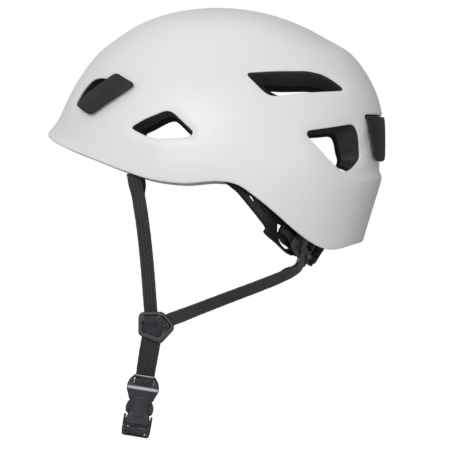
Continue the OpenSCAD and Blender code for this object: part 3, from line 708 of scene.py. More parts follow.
def clip_plate(corners, stand, radii, bow, rib):
    """A rounded plate over the plain skin. bow curves its free edge, rib raises its middle a little."""
    ns, nt = 56, 36
    s, t = [a.ravel() for a in np.meshgrid(np.linspace(0, 1, ns), np.linspace(0, 1, nt))]
    edge = [skin_point(*c, k=0) for c in corners]
    wide, tall = np.linalg.norm(edge[1] - edge[0]), np.linalg.norm(edge[2] - edge[0])
    outline = []
    for (cs, ct), r in zip([(0, 0), (1, 0), (1, 1), (0, 1)], radii):
        for a in np.linspace(0, 90, 9):
            start = {(0, 0): 180, (1, 0): 270, (1, 1): 0, (0, 1): 90}[cs, ct]
            outline.append((cs * wide + (r if cs == 0 else -r) + r * cosd(start + a),
                            ct * tall + (r if ct == 0 else -r) + r * sind(start + a)))
    outline = np.array(outline)
    outline[:, 1] -= bow * np.sin(np.pi * outline[:, 0] / wide) * smooth(0.5 * tall, tall, outline[:, 1])

    def distance(a, b):
        return -signed_distance(np.stack([a * wide, b * tall], 1), outline)

    st, faces = clip_grid(np.stack([s, t], 1), grid_cells(ns, nt), distance, CLIP_NOSE)
    z, u = patch(corners, st[:, 0], st[:, 1]).T
    n = skin_normal(z, u, 0)
    inset = distance(st[:, 0], st[:, 1])
    foot = over_skin(z, u, 0.0, 0)
    height = stand + CLIP_T - 0.35 * (1 - smooth(0.7, 3, inset)) + rib * smooth(2, 9, inset)
    top = foot + n * height[:, None]
    a, b, c = top[faces[0][0]], top[faces[0][1]], top[faces[0][2]]
    if np.cross(b - a, c - a) @ n[faces[0][0]] < 0:
        faces = [list(reversed(f)) for f in faces]
    bottom = foot + n * stand
    return thick_sheet(top, bottom, n, faces, CLIP_NOSE)


def clip_leg(corners, leg_from, leg_to, leg_in, stand, depth=8.0):
    """The web that carries a clip plate down through the shell, with rounded sides."""
    rings = []
    for s in np.linspace(leg_from, leg_to, 17):
        ring = []
        for share, off in [(0.02, stand + 0.8), (0.02, -depth + 1), (0.035, -depth), (leg_in - 0.01, -depth),
                           (leg_in, -depth + 1), (leg_in, stand - 0.6), (leg_in + 0.03, stand + 0.8)]:
            z, u = patch(corners, np.array([s]), np.array([share]))[0]
            ring.append(skin_point(z, u, off, 0))
        rings.append(ring)
    return loft(rings)


def loft(rings):
    """Closed skin through rings of equal length, with its end caps; turned so that it faces out."""
    rings = [np.asarray(r, float) for r in rings]
    m, n = len(rings[0]), len(rings)
    faces = [[i * m + j, (i + 1) * m + j, (i + 1) * m + (j + 1) % m, i * m + (j + 1) % m]
             for i in range(n - 1) for j in range(m)]
    faces += [list(range(m)), [(n - 1) * m + j for j in reversed(range(m))]]
    verts = np.vstack(rings)
    return face_out(verts, faces)


def face_out(verts, faces):
    """Reverses every face if the closed mesh has a negative volume."""
    centre = verts.mean(0)
    volume = 0.0
    for f in faces:
        p = verts[f] - centre
        for i in range(1, len(f) - 1):
            volume += p[0] @ np.cross(p[i], p[i + 1])
    return verts, faces if volume > 0 else [list(reversed(f)) for f in faces]


def lamp_clips():
    front = join_parts([clip_plate(FRONT_CLIP, CLIP_GAP, (5, 4.5, 6, 5), 3.0, 0.25),
                        clip_leg(FRONT_CLIP, 0.16, 0.66, 0.11, CLIP_GAP)])
    rear = join_parts([clip_plate(REAR_CLIP, CLIP_GAP - CHANNEL_D, (3, 3, 8, 6), 0.0, 0.2),
                       clip_leg(REAR_CLIP, 0.2, 0.8, 0.055, CLIP_GAP - CHANNEL_D)])
    for name, mesh in (("front_clip", front), ("rear_clip", rear)):
        for side in SIDES:
            node = f"{name}_{side}"
            make_piece(node + "_moulding", *on_side(mesh, side), "clip_plastic", node, [node])


# ---- plates, turned pieces and frames
def plate(outline, thick, bevel=0.6, holes=(), steps=3):
    """A flat plate with rounded edges: the outline lies in x and z, and the thickness along y."""
    cu = bpy.data.curves.new("plate", "CURVE")
    cu.dimensions, cu.fill_mode = "2D", "BOTH"
    cu.extrude, cu.bevel_depth, cu.offset = thick / 2 - bevel, bevel, -bevel
    cu.bevel_resolution = steps
    for ring in [outline, *holes]:
        spline = cu.splines.new("POLY")
        spline.points.add(len(ring) - 1)
        spline.points.foreach_set("co", np.array([(x, z, 0, 1) for x, z in ring], float).ravel())
        spline.use_cyclic_u = True
    obj = add_object("plate", cu)
    me = bpy.data.meshes.new_from_object(evaluated(obj))
    bpy.data.objects.remove(obj)
    bm = bmesh.new()
    bm.from_mesh(me)
    bpy.data.meshes.remove(me)
    bmesh.ops.remove_doubles(bm, verts=bm.verts, dist=1e-3)
    bmesh.ops.recalc_face_normals(bm, faces=bm.faces)
    verts = np.array([(v.co.x, -v.co.z, v.co.y) for v in bm.verts])
    faces = [[v.index for v in f.verts] for f in bm.faces]
    bm.free()
    return verts, faces


def shifted(mesh, x=0.0, y=0.0, z=0.0):
    return mesh[0] + [x, y, z], mesh[1]


def mirrored(mesh):
    return mesh[0] * [-1, 1, 1], [list(reversed(f)) for f in mesh[1]]


def bar_outline(x0, x1, z0, z1, r):
    return soften([(x0, z0), (x1, z0), (x1, z1), (x0, z1)], r, 8)


def disc_outline(x, z, r, n=28):
    return [(x + r * cosd(a), z + r * sind(a)) for a in np.linspace(0, 360, n, endpoint=False)]


def turned(profile, n=40):
    """A piece turned about the y axis from rows of (radius, y), closed at both ends."""
    rings = [[(r * cosd(a), y, r * sind(a)) for a in np.linspace(0, 360, n, endpoint=False)] for r, y in profile]
    return loft(rings)


def about_y(points, degrees):
    c, s = cosd(degrees), sind(degrees)
    x, y, z = np.asarray(points, float).T
    return np.stack([x * c + z * s, y, -x * s + z * c], 1)


# ---- webbing
WEB_T = 1.3
WEB_W = 11.5
CHIN_W = 16.0
FRONT_STRAP = [(-76, -91.6, 8.6, 4), (-74.6, -91.4, 0, 4), (-71.6, -90, -12, 2), (-67.5, -85.5, -40, 0),
               (-64.5, -78, -70, 0), (-62.6, -70.5, -96, 0), (-61.9, -66.2, -106.5, 0), (-61.6, -64.9, -110.4, 0),
               (-61.5, -64.9, -112.6, 0), (-61.4, -65.6, -113.9, 0), (-61.4, -67, -114.3, 0),
               (-61.4, -68.4, -114.5, 0), (-61.4, -69.5, -115.2, 0), (-61.4, -69.95, -116.9, 0),
               (-61.4, -69.5, -118.5, 0), (-61.3, -68.4, -119.2, 0), (-61.2, -66.8, -119.5, 0),
               (-61.1, -65.4, -120.1, 0), (-61.1, -64.9, -121.4, 0)]
UPPER_REAR = [(79, -80.6, -18.6, 60), (77, -79, -30, 60), (71.6, -71, -46, 62), (69, -64.5, -57.5, 66),
              (68.3, -61.8, -63.5, 66)]
LOWER_REAR = [(69, -64.5, -57.5, 66), (68.3, -61.8, -63.5, 66), (66.9, -60, -69.5, 58), (63.5, -58.8, -74, 46),
              (57.5, -58.2, -77.2, 38), (48.8, -58.1, -80.6, 36), (30, -59, -88.1, 36), (0, -61, -99.4, 35),
              (-28, -63.4, -110.2, 28), (-38.5, -64.5, -114.2, 13), (-43.8, -64.8, -116.1, 5),
              (-46.8, -64.9, -117.3, 8), (-48.6, -65, -118.4, 24), (-49.2, -65.7, -118.8, 46),
              (-49.35, -67, -118.95, 51), (-49.35, -68.5, -119, 51), (-49.9, -69.5, -119.6, 28),
              (-51.2, -69.95, -120.9, 0), (-52.5, -69.5, -122.2, -28), (-53.1, -68.4, -122.7, -51),
              (-53.2, -66.9, -122.8, -51), (-53.3, -65.6, -122.9, -51)]
LOWER_STRAP = [(-60.9, -64, -117.4, 0), (-60.9, -64.6, -120.4, 0), (-60.9, -65, -124, 0), (-61, -64.9, -127.5, 0),
               (-61.3, -64.7, -131, 0), (-61.9, -64.3, -134, 0), (-63.2, -61.4, -141, 0), (-64.9, -55.6, -151, 0),
               (-66.3, -48.6, -160.3, 0), (-66.8, -47, -164.6, 0), (-67.3, -47, -168, 0), (-67.8, -48.2, -170.8, 0),
               (-68.1, -49.8, -172.1, 0), (-68.3, -51.6, -171.9, 0), (-68.2, -52.6, -170.6, 0), (-67.9, -52.6, -169, 0),
               (-67.6, -51.6, -168, 0), (-67.4, -50.2, -167.8, 0)]
CHIN_STRAP = [(-61.2, 65.1, -121.6, 0), (-61.4, 65, -127, 0), (-61.8, 64.9, -130.4, 0), (-62.3, 64.8, -132.6, 0),
              (-63, 64.6, -137, 0), (-64, 62.8, -144, 0), (-66, 59, -155, 0), (-69, 55, -172, 0),
              (-71.6, 51, -190, 0), (-73, 47, -200, 0), (-73.8, 42, -206.4, 0), (-74.2, 34, -210.6, 0),
              (-74.4, 22, -212.6, 0), (-74.5, 6, -213.4, 0), (-74.6, -14, -213, 0), (-74.6, -32, -211.6, 4),
              (-74.5, -41, -210.5, 9), (-74.4, -46, -210.2, 9), (-74.4, -50, -210.2, 9), (-74.4, -54.2, -210.2, 9),
              (-74.5, -55.1, -210.9, 5), (-75, -55.1, -213.4, -5), (-75.1, -54.2, -214.1, -9),
              (-75.1, -50, -214.1, -9), (-75.1, -46, -214.1, -9), (-75.1, -41, -214.2, -9)]
HANG_CENTRE = (1.7, -35.7)
HANG_REACH = 3500.0
STEP = 1.1      # along the webbing


def hang_right(x, y, z):
    s = (HANG_REACH - y) / (HANG_REACH + y)
    return HANG_CENTRE[0] + (x - HANG_CENTRE[0]) * s, -y, HANG_CENTRE[1] + (z - HANG_CENTRE[1]) * s


def side_rows(rows, side):
    """The rows on one side: the right-hand webbing hangs longer, except where shell or cradle hold it."""
    if side == "left":
        return rows
    return [((x, -y, z) if z > -11 or x > 50 else hang_right(x, y, z)) + (-lean,) for x, y, z, lean in rows]


def ribbon(name, rows, width, body, node):
    """Woven webbing along rows of (x, y, z, lean), with thick rounded selvedges and UVs in millimetres."""
    rows = np.array(rows, float)
    at = np.concatenate([[0], np.cumsum(np.linalg.norm(np.diff(rows[:, :3], axis=0), axis=1))])
    table = np.column_stack([at, rows])
    s = np.linspace(0, at[-1], max(8, int(at[-1] / STEP)))
    p = np.stack([curve(table, s, c) for c in (1, 2, 3)], 1)
    lean = curve(table, s, 4)[:, None]
    t = unit(np.gradient(p, s, axis=0))
    flat = unit(np.array([1.0, 0, 0]) - t * t[:, :1])
    out = np.cross(flat, t)
    w = flat * cosd(lean) + out * sind(lean)
    h = np.cross(w, t)
    across = np.concatenate([np.linspace(-1, 1, 15)[1:-1], [1.0], np.linspace(1, -1, 15)[1:-1], [-1.0]])
    up = np.concatenate([np.ones(13), [0.0], -np.ones(13), [0.0]])
    thin = 1 - 0.16 * smooth(0.62, 0.84, np.abs(across)) * (1 - smooth(0.84, 0.95, np.abs(across)))
    lift = up * thin * np.sqrt(np.clip(1 - np.maximum(np.abs(across) - 0.86, 0) ** 2 / 0.14**2 * 0.8, 0.1, 1))
    rough = 0.06 * np.sin(s * 2.3) + 0.05 * np.sin(s * 0.71 + 1)
    half = width / 2 + rough[:, None] * np.abs(across)[None]
    verts = (p[:, None] + w[:, None] * (across * half)[..., None]
             + h[:, None] * (lift * WEB_T / 2)[None, :, None])
    m = len(across)
    uv = np.stack([np.tile(across * width / 2, len(s)), np.repeat(s, m)], 1)
    verts, faces = loft(list(verts))
    return make_piece(name, verts, faces, "webbing", body, [node], sharp=80, uv=uv)


def webbing():
    for side in SIDES:
        ribbon(f"front_webbing_{side}", side_rows(FRONT_STRAP, side), WEB_W, "shell", f"front_strap_{side}")
        upper = ribbon(f"rear_webbing_upper_{side}", side_rows(UPPER_REAR, side), WEB_W, None, f"rear_strap_{side}")
        lower = ribbon(f"rear_webbing_lower_{side}", side_rows(LOWER_REAR, side), WEB_W, None, f"rear_strap_{side}")
        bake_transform(upper)
        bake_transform(lower)
    ribbon("lower_webbing", LOWER_STRAP, CHIN_W, "shell", "lower_strap_left")
    chin = ribbon("chin_webbing", CHIN_STRAP, CHIN_W, None, "chin_strap")
    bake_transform(chin)


# ---- strap dividers and keeper
DIVIDER_AT = (-57.5, -67.3, -122)
DIVIDER = [(-12.8, 12), (6, 12.4), (9.4, 9), (16, 0.6), (15.6, -3.2), (4.8, -15), (1.4, -14.2), (-14.8, -7.6),
           (-14.8, 8.4)]
DIVIDER_WINDOWS = [[(-9.8, 9.4), (2, 9.4), (2, 6.2), (-9.8, 6.2)], [(5.5, 8.8), (13, -0.5), (10.8, -2.5), (3.6, 6.5)],
                   [(-11.4, 4), (1.6, 4), (6.9, -3), (3, -9.8), (-11.4, -5)]]


def dividers():
    frame_mesh = plate(soften(DIVIDER, 3), 3.2, 0.95, [soften(w, 1.4) for w in DIVIDER_WINDOWS], 4)
    for side in SIDES:
        x, y, z = DIVIDER_AT if side == "left" else hang_right(*DIVIDER_AT)
        node = f"strap_divider_{side}"
        make_piece(node + "_frame", *shifted(frame_mesh, x, y, z), "fitting_plastic", "shell", [node])
    keeper = plate(bar_outline(-10, 10, -2.7, 2.7, 1.8), 8, 0.6, [bar_outline(-8.5, 8.5, -1.6, 1.6, 1)])
    make_piece("strap_keeper_loop", *shifted(keeper, -74.6, -22, -212.4), "fitting_plastic", "buckle_insert",
               ["strap_keeper"])


# ---- side-release buckle
BUCKLE_AT = (-66.9, -50, -164.3)
BUCKLE_LEAN = 9.3
SOCKET = [(8.4, 0), (12.5, -5), (13.9, -9.5), (13.9, -13), (11.6, -18.6), (10.2, -21.4), (7.6, -24), (6.6, -28),
          (7.4, -32), (10, -36.4), (10.4, -43)]
PRONG = [(4.9, -37), (4.9, -24), (4.4, -19.4), (5.6, -18), (9.4, -18), (11.4, -20.4), (9.6, -22.4), (11.2, -25),
         (11.8, -29), (11.2, -33.2), (7.9, -35.6), (7.9, -37)]


def symmetric(half):
    return list(half) + [(-x, z) for x, z in reversed(half)]


def in_buckle(mesh):
    return about_y(mesh[0], BUCKLE_LEAN) + BUCKLE_AT, mesh[1]


def cut_above(half, z):
    """A half outline with what lies above height z left off."""
    out = [p for p in half if p[1] <= z]
    i = len(half) - len(out)
    (xa, za), (xb, zb) = half[i - 1], half[i]
    return [(xa + (xb - xa) * (z - za) / (zb - za), z)] + out


def buckle():
    below = cut_above(SOCKET, -12.4)
    lower = symmetric(below)
    collar = symmetric(SOCKET[:4] + [(13.2, -14.4)])
    parts = [plate(soften(collar, 1.6), 4.6, 0.9, [bar_outline(-8.5, 8.5, -8.6, -3.2, 0.9)], 4),
             plate(soften(symmetric(below[:4]), 1.2), 5.4, 0.6)]
    for y in (-3.15, 3.15):
        parts.append(shifted(plate(soften(lower, 1.4), 1.9, 0.7), y=y))
    parts.append(plate(bar_outline(-1.4, 1.4, -42.6, -13, 0.6), 4.8, 0.3))
    ridges = [shifted(plate(bar_outline(-13.7, 13.7, -1.6, 1.6, 1.5), 8.6, 1.35, steps=5), z=-12),
              shifted(plate(bar_outline(-8.4, 8.4, -0.4, 0.4, 0.35), 5.2, 0.35), z=-0.9)]
    rim = bar_outline(-9.9, 9.9, -42.9, -40.3, 1.2)
    for y in (-3.95, 3.95):
        parts.append(shifted(plate(rim, 0.9, 0.4), y=y))
        groove = soften([(-5.4, -19), (5.4, -19), (4.2, -27), (5.2, -37), (-5.2, -37), (-4.2, -27)], 2)
        parts.append(shifted(plate(groove, 0.7, 0.33), y=y))
    verts, faces = in_buckle(join_parts(parts))
    make_piece("buckle_socket_body", verts, faces, "buckle_plastic", "shell", ["buckle_socket"])
    # The ridges take the light grey that paints their highlight.
    make_piece("buckle_socket_ridges", *in_buckle(join_parts(ridges)), "buckle_plastic", "shell", look="ridge_painted_highlight")

    block = plate(soften([(-12.2, -43.4), (12.2, -43.4), (12.4, -48), (11.6, -53.4), (-11.6, -53.4), (-12.4, -48)],
                         1.8), 7.4, 1.2, [bar_outline(-8.3, 8.3, -47.1, -45.2, 0.7),
                                          bar_outline(-8.3, 8.3, -51.4, -49.5, 0.7)], 4)
    tongue = plate(soften([(-10.6, -44.5), (-10.6, -38.2), (-1.9, -38.2), (-1.9, -43), (1.9, -43), (1.9, -38.2),
                           (10.6, -38.2), (10.6, -44.5)], 0.6), 4.2, 0.4)
    ears = [plate(bar_outline(x - 0.95, x + 0.95, -44.4, -35, 0.7), 7.2, 0.35) for x in (-11.45, 11.45)]
    lip = [shifted(plate(bar_outline(-12.3, 12.3, -0.6, 0.6, 0.55), 1.2, 0.5), y=y, z=-43.6) for y in (-3.3, 3.3)]
    verts, faces = in_buckle(join_parts([block, tongue] + ears + lip))
    make_piece("buckle_insert_body", verts, faces, "buckle_plastic", "buckle_insert", ["buckle_insert"])

    spring = plate(soften(PRONG, 0.8), 4, 0.5)
    pad = plate(soften([(9.3, -24.4), (11.5, -25.4), (12.1, -29), (11.5, -33), (9.3, -34.2), (8.2, -29)], 0.9), 6.6,
                0.9, steps=4)
    hinge = shifted(turned([(0.01, -2), (1.1, -2), (1.5, -1.6), (1.5, 1.6), (1.1, 2), (0.01, 2)], 24), 6.4, 0, -37.9)
    one = join_parts([spring, pad, hinge])
    for side in SIDES:
        verts, faces = in_buckle(mirrored(one) if side == "left" else one)
        node = f"buckle_prong_{side}"
        make_piece(node + "_body", verts, faces, "buckle_plastic", f"prong_{side}", [node])


# ---- rear cradle
CRADLE_AT = (-7, 0, 16)
CRADLE_PITCH = 30.0
ARM_Y = 86.0
ARM_T = 2.4
BEND_R = 60.0
RACK_X = 104.0
DIAL_Z = -14.4
RACK_OFF = 9.4
RACK_HALF = 3.3
RACK_REACH = 15.0
BEND_X = RACK_X - BEND_R
BEND_LENGTH = BEND_R * math.pi / 2
ARM_SIDE = [(-8, 0), (-5, 7), (4, 8), (16, 7), (40, 5.5), (70, 2.5), (97, 0.5), (99, -3), (99, -22), (98.4, -31),
            (95, -35.6), (88, -34.2), (80, -32), (70, -30.4), (65.2, -28.6), (66.6, -25), (58.3, -21.4), (46, -16.6),
            (36, -12.8), (28, -9.8), (10, -7.2), (0, -8)]
ARM_WINDOWS = [[(30, -4.7), (35.7, -6), (35.5, -7.3), (30.4, -6.1)],
               [(39, -7), (40.4, -6.6), (45, -9.1), (44.7, -11.3), (39.1, -9)],
               [(52, -10.2), (58.8, -13), (58.4, -14.5), (52.1, -11.8)],
               [(60.4, -15.5), (63.4, -16.8), (62.8, -18.2), (60.4, -16.9)],
               [(70.7, -16.4), (77.3, -16.1), (76.8, -19.6), (78.1, -23.3), (74.7, -23.7)],
               [(77.3, -27), (80.6, -26.7), (85, -29.5), (92.2, -29.8), (92.4, -31.5), (87.5, -32.4), (82, -30.8)]]
# A forked guide on the cradle that steers the rear strap between its two fins, its stay to the wing seen from
# behind, and the boss on the arm beside it, which cuts into the guide a little when the dial is fully let out
GUIDE = [(90, -19), (95, -20.4), (102.3, -21.2), (112.6, -27), (111, -30), (105.7, -28.6), (97, -24.6), (94.6, -25.2),
         (102.6, -31), (101.4, -34), (96.4, -31.9), (90.4, -28)]
GUIDE_STAY = [(-64.5, -26), (-60, -26), (-47, -33), (-47, -37.5), (-52, -38), (-64.5, -30)]
GUIDE_Y, GUIDE_FROM, GUIDE_SLOPE = -77.7, 77.0, 0.46
ARM_BOSS = [(77, -20.4), (79.5, -17), (86, -17.9), (88.8, -19), (88.8, -26.7), (84, -23.6)]


def in_cradle(points):
    return about_y(points, CRADLE_PITCH) + CRADLE_AT


def unroll(x):
    """Length along the arm for a distance back from the pivot."""
    x = np.asarray(x, float)
    bend = np.arcsin(np.clip((x - BEND_X) / BEND_R, 0, 1)) * BEND_R
    return np.where(x <= BEND_X, x, BEND_X + bend)


def unrolled(outline):
    """A side-view outline laid flat along the arm, with points close enough together to bend."""
    pts = np.asarray(outline, float)
    out = []
    for a, b in zip(pts, np.roll(pts, -1, 0)):
        n = max(1, int(np.linalg.norm(b - a) / 2))
        out += [a + (b - a) * i / n for i in range(n)]
    out = np.array(out)
    return list(zip(unroll(out[:, 0]), out[:, 1]))


def bend_arm(mesh):
    """Bends a flat plate, whose x runs along the arm, round the head."""
    bm = bmesh.new()
    for v in mesh[0]:
        bm.verts.new(v)
    bm.verts.ensure_lookup_table()
    for f in mesh[1]:
        bm.faces.new([bm.verts[i] for i in f])
    for s in np.arange(BEND_X, BEND_X + BEND_LENGTH, 2.6):
        geom = bm.verts[:] + bm.edges[:] + bm.faces[:]
        bmesh.ops.bisect_plane(bm, geom=geom, dist=1e-4, plane_co=(s, 0, 0), plane_no=(1, 0, 0))
    bm.verts.index_update()
    flat = np.array([v.co for v in bm.verts])
    faces = [[v.index for v in f.verts] for f in bm.faces]
    bm.free()
    s, out, z = flat[:, 0], -flat[:, 1], flat[:, 2]
    phi = np.clip((s - BEND_X) / BEND_R, 0, math.pi / 2)
    past = np.maximum(s - BEND_X - BEND_LENGTH, 0)
    x = np.minimum(s, BEND_X) + (BEND_R + out) * np.sin(phi)
    y = -(ARM_Y - BEND_R) - (BEND_R + out) * np.cos(phi) + past
    return np.stack([x, y, z], 1), faces


def arms():
    start = float(unroll(96))
    middle = BEND_X + BEND_LENGTH + ARM_Y - BEND_R
    end = middle + RACK_REACH
    for side in SIDES:
        s = 1 if side == "left" else -1
        body = plate(unrolled(soften(ARM_SIDE, 4)), ARM_T, 0.55,
                     [unrolled(soften(w, 1.6)) for w in ARM_WINDOWS] + [disc_outline(0, 0, 3.1)])
        z0 = DIAL_Z + s * RACK_OFF
        edge = [(start, z0 - s * RACK_HALF)]
        for k in range(-4, 5):
            at = middle + k * math.pi
            edge += [(at - 1, z0 - s * RACK_HALF), (at - 0.3, z0 - s * (RACK_HALF + 1.8)),
                     (at + 0.3, z0 - s * (RACK_HALF + 1.8)), (at + 1, z0 - s * RACK_HALF)]
        strip = edge + [(end, z0 - s * RACK_HALF), (end, z0 + s * RACK_HALF), (start, z0 + s * RACK_HALF)]
        rack = plate(strip, ARM_T - 0.3, 0.12, steps=1)
        ribs = [shifted(plate(unrolled(soften(r, 0.9)), 1.2, 0.45), y=-ARM_T / 2)
                for r in ([(8, 4.6), (40, 3.4), (70, 0.6), (94, -1.4), (94, -3), (70, -1), (40, 1.9), (8, 3)],
                          [(14, -3.4), (30, -2.4), (48, -7.4), (68, -13), (68, -14.6), (48, -9), (30, -4), (14, -4.8)])]
        parts = [bend_arm(m) for m in [body, rack] + ribs]
        band = join_parts([(in_cradle(v), f) for v, f in parts])
        fork = plate(soften(GUIDE, 1.2), 1.8, 0.7)
        lean = fork[0] + [0, GUIDE_Y, 0]
        lean[:, 1] += (lean[:, 0] - GUIDE_FROM) * GUIDE_SLOPE
        guide = join_parts([(in_cradle(lean), fork[1]), rear_facing(plate(soften(GUIDE_STAY, 1.5), 2.6, 0.6), 109.2)])
        boss = bend_arm(shifted(plate(unrolled(soften(ARM_BOSS, 1.2)), 1.6, 0.6), y=-ARM_T / 2 - 0.2))
        boss = in_cradle(boss[0]), boss[1]
        node = f"headband_arm_{side}"
        make_piece(node + "_band", *on_side(band, side), "cradle_plastic", f"arm_{side}", [node])
        make_piece(f"strap_guide_{side}", *on_side(guide, side), "fitting_plastic", "cradle")
        make_piece(f"arm_boss_{side}", *on_side(boss, side), "fitting_plastic", f"arm_{side}")


def rear_facing(mesh, x):
    """Turns a plate so that its outline lies in y and z, at x in the cradle's frame, and thickness along x."""
    verts = mesh[0]
    return in_cradle(np.stack([x - verts[:, 1], verts[:, 0], verts[:, 2]], 1)), mesh[1]


YOKE_HALF = 26.0
YOKE_LOW = -32.0
YOKE_HIGH = 3.4
KNOB_R = 20.0


def dial():
    screws = [(y, z) for y in (-21.5, 21.5) for z in (0, -28.6)]
    cover = plate(bar_outline(-YOKE_HALF, YOKE_HALF, YOKE_LOW, YOKE_HIGH, 5), 2, 0.7,
                  [disc_outline(y, z, 2.3) for y, z in screws] + [disc_outline(0, DIAL_Z, 4)])
    make_piece("dial_cover_plate", *rear_facing(cover, 109.25), "fitting_plastic", "cradle", ["dial_cover"])
    edge = []
    for a in np.arange(0, 360, 1.25):
        dip = 1.25 * max(0.0, math.cos(math.radians(a * 18))) ** 2.2
        edge.append(((KNOB_R - dip) * cosd(a), (KNOB_R - dip) * sind(a)))
    knob = shifted(plate(edge, 6.0, 1.1, steps=4), z=DIAL_Z)
    face = plate(disc_outline(0, 0, KNOB_R - 3.4, 64), 2.2, 0.7, [disc_outline(10.5 * cosd(a), 10.5 * sind(a), 3.4)
                                                                   for a in (30, 150, 270)])
    hub = plate(disc_outline(0, 0, 4.2, 40), 1.2, 0.5)
    parts = [rear_facing(knob, 113.7), rear_facing(shifted(face, z=DIAL_Z), 116.9),
             rear_facing(shifted(hub, z=DIAL_Z), 118.0)]
    make_piece("dial_knob_body", *join_parts(parts), "cradle_plastic", "dial", ["dial_knob"])


def turned_parts():
    """The temple studs and the moulded blocks that hold the webbing in the shell."""
    for side in SIDES:
        s = 1 if side == "left" else -1
        profile = [(0.01, 77), (4.6, 77), (5.5, 77.7), (5.5, 79), (3, 79.2), (3, 95), (7.2, 95.2), (8, 96), (8, 105.2),
                   (7.2, 106.2), (0.01, 106.2)]
        verts, faces = turned([(r, -s * y) for r, y in profile])
        node = f"pivot_stud_{side}"
        make_piece(node + "_turned", verts + CRADLE_AT, faces, "fitting_plastic", "shell", [node])
        for name, x, z, tall in (("front_anchor", -77, 12.5, 7), ("rear_anchor", 80, -14, 8)):
            u = azimuth(x, z)
            n = skin_normal(np.array([z]), np.array([u]))[0]
            p = skin_point(z, u, -SHELL_T - 3)
            turn = math.degrees(math.atan2(n[1], n[0])) + 90
            c, k = cosd(turn), sind(turn)
            block = join_parts([plate(bar_outline(-8.5, 8.5, -tall / 2, tall / 2, 1.6), 4, 0.8),
                                shifted(plate(bar_outline(-6.4, 6.4, -1, 1, 0.9), 1, 0.4), y=1.9)]
                               + [shifted(turned([(0.01, 2.7), (1.1, 2.6), (1.5, 2.2), (1.5, 1.5)], 20), x=dx, z=1.6)
                                  for dx in (-7, 7)])
            v = block[0]
            v = np.stack([v[:, 0] * c - v[:, 1] * k, v[:, 0] * k + v[:, 1] * c, v[:, 2]], 1) + p
            node = f"{name}_{side}"
            make_piece(node + "_block", *on_side((v, block[1]), side), "fitting_plastic", "shell", [node])


# ---- pads
PAD_OFF = LINER_OUT - LINER_T - 0.4
PAD_START = 3.6         # thickness before the pad swells
PAD_SWELL = 1.7         # the most that it may swell
PAD_CELL = 2.2
PAD_PRESSURE = 4.0
PAD_MASS = 0.05
PAD_FRAMES = 20
BACKED = 0.35           # how squarely the held side faces its backing
SEAM_DEPTH, SEAM_WIDTH = 1.7, 0.9
BROW_SEAMS = (143, 161.5, 180, 198.5, 217)


def slab_on_skin(corners, across, down):
    """A closed slab over a patch of the liner's inner side, a little smaller than the pad that it becomes."""
    s, t = np.meshgrid(np.linspace(0.02, 0.98, across), np.linspace(0.05, 0.95, down))
    s, t = s.ravel(), t.ravel()
    z, u = patch(corners, s, t).T
    rounding = np.clip(np.minimum(np.minimum(s, 1 - s) * across, np.minimum(t, 1 - t) * down) / 1.2, 0, 1)
    far = PAD_OFF - 0.2 - PAD_START * (0.55 + 0.45 * rounding)
    top, bottom = over_skin(z, u, np.full(len(z), PAD_OFF)), over_skin(z, u, far)
    n = len(top)
    cells = grid_cells(across, down)
    faces = cells + [[k + n for k in reversed(f)] for f in cells]
    rim = border_loops(cells)[0]
    faces += [[rim[k], rim[k - 1], rim[k - 1] + n, rim[k] + n] for k in range(len(rim))]
    return face_out(np.vstack([top, bottom]), faces)


def swollen(verts, faces, backing):
    """The slab as a fabric cover blown up by its foam: a cloth simulation whose backing side stays put."""
    obj = add_object("pad", new_mesh("pad", verts, faces))
    scene = bpy.context.scene
    remesh = obj.modifiers.new("remesh", "REMESH")
    remesh.mode, remesh.voxel_size = "VOXEL", PAD_CELL * MM
    even = bpy.data.meshes.new_from_object(evaluated(obj))
    obj.modifiers.clear()
    obj.data = even
    rest = np.array([v.co for v in even.vertices])
    normal = np.array([v.normal for v in even.vertices])
    held = backing(rest / MM, normal)
    group = obj.vertex_groups.new(name="held")
    group.add([int(i) for i in np.flatnonzero(held)], 1.0, "REPLACE")
    cloth = obj.modifiers.new("cloth", "CLOTH")
    setup = cloth.settings
    setup.use_pressure, setup.uniform_pressure_force = True, PAD_PRESSURE
    setup.effector_weights.gravity = 0.0
    setup.mass, setup.vertex_group_mass = PAD_MASS, "held"
    cloth.point_cache.frame_start, cloth.point_cache.frame_end = 1, PAD_FRAMES
    for f in range(1, PAD_FRAMES + 1):
        scene.frame_set(f)
    done = evaluated(obj).data
    move = np.array([v.co for v in done.vertices]) - rest
    scene.frame_set(1)
    most = np.linalg.norm(move, axis=1).max()
    move *= min(1.0, PAD_SWELL * MM / max(most, 1e-9))
    faces = [list(p.vertices) for p in even.polygons]
    bpy.data.objects.remove(obj)
    return (rest + move) / MM, faces, held


def soft_pad(name, slab, node, body, backing, seams=None):
    verts, faces = slab
    verts, faces, held = swollen(verts, faces, backing)
    if seams:
        verts = seams(verts, held)
    obj = make_piece(name, verts, faces, "pad_fabric", body, [node], sharp=180)
    smooth_it = obj.modifiers.new("smooth", "SUBSURF")
    smooth_it.levels = smooth_it.render_levels = 1


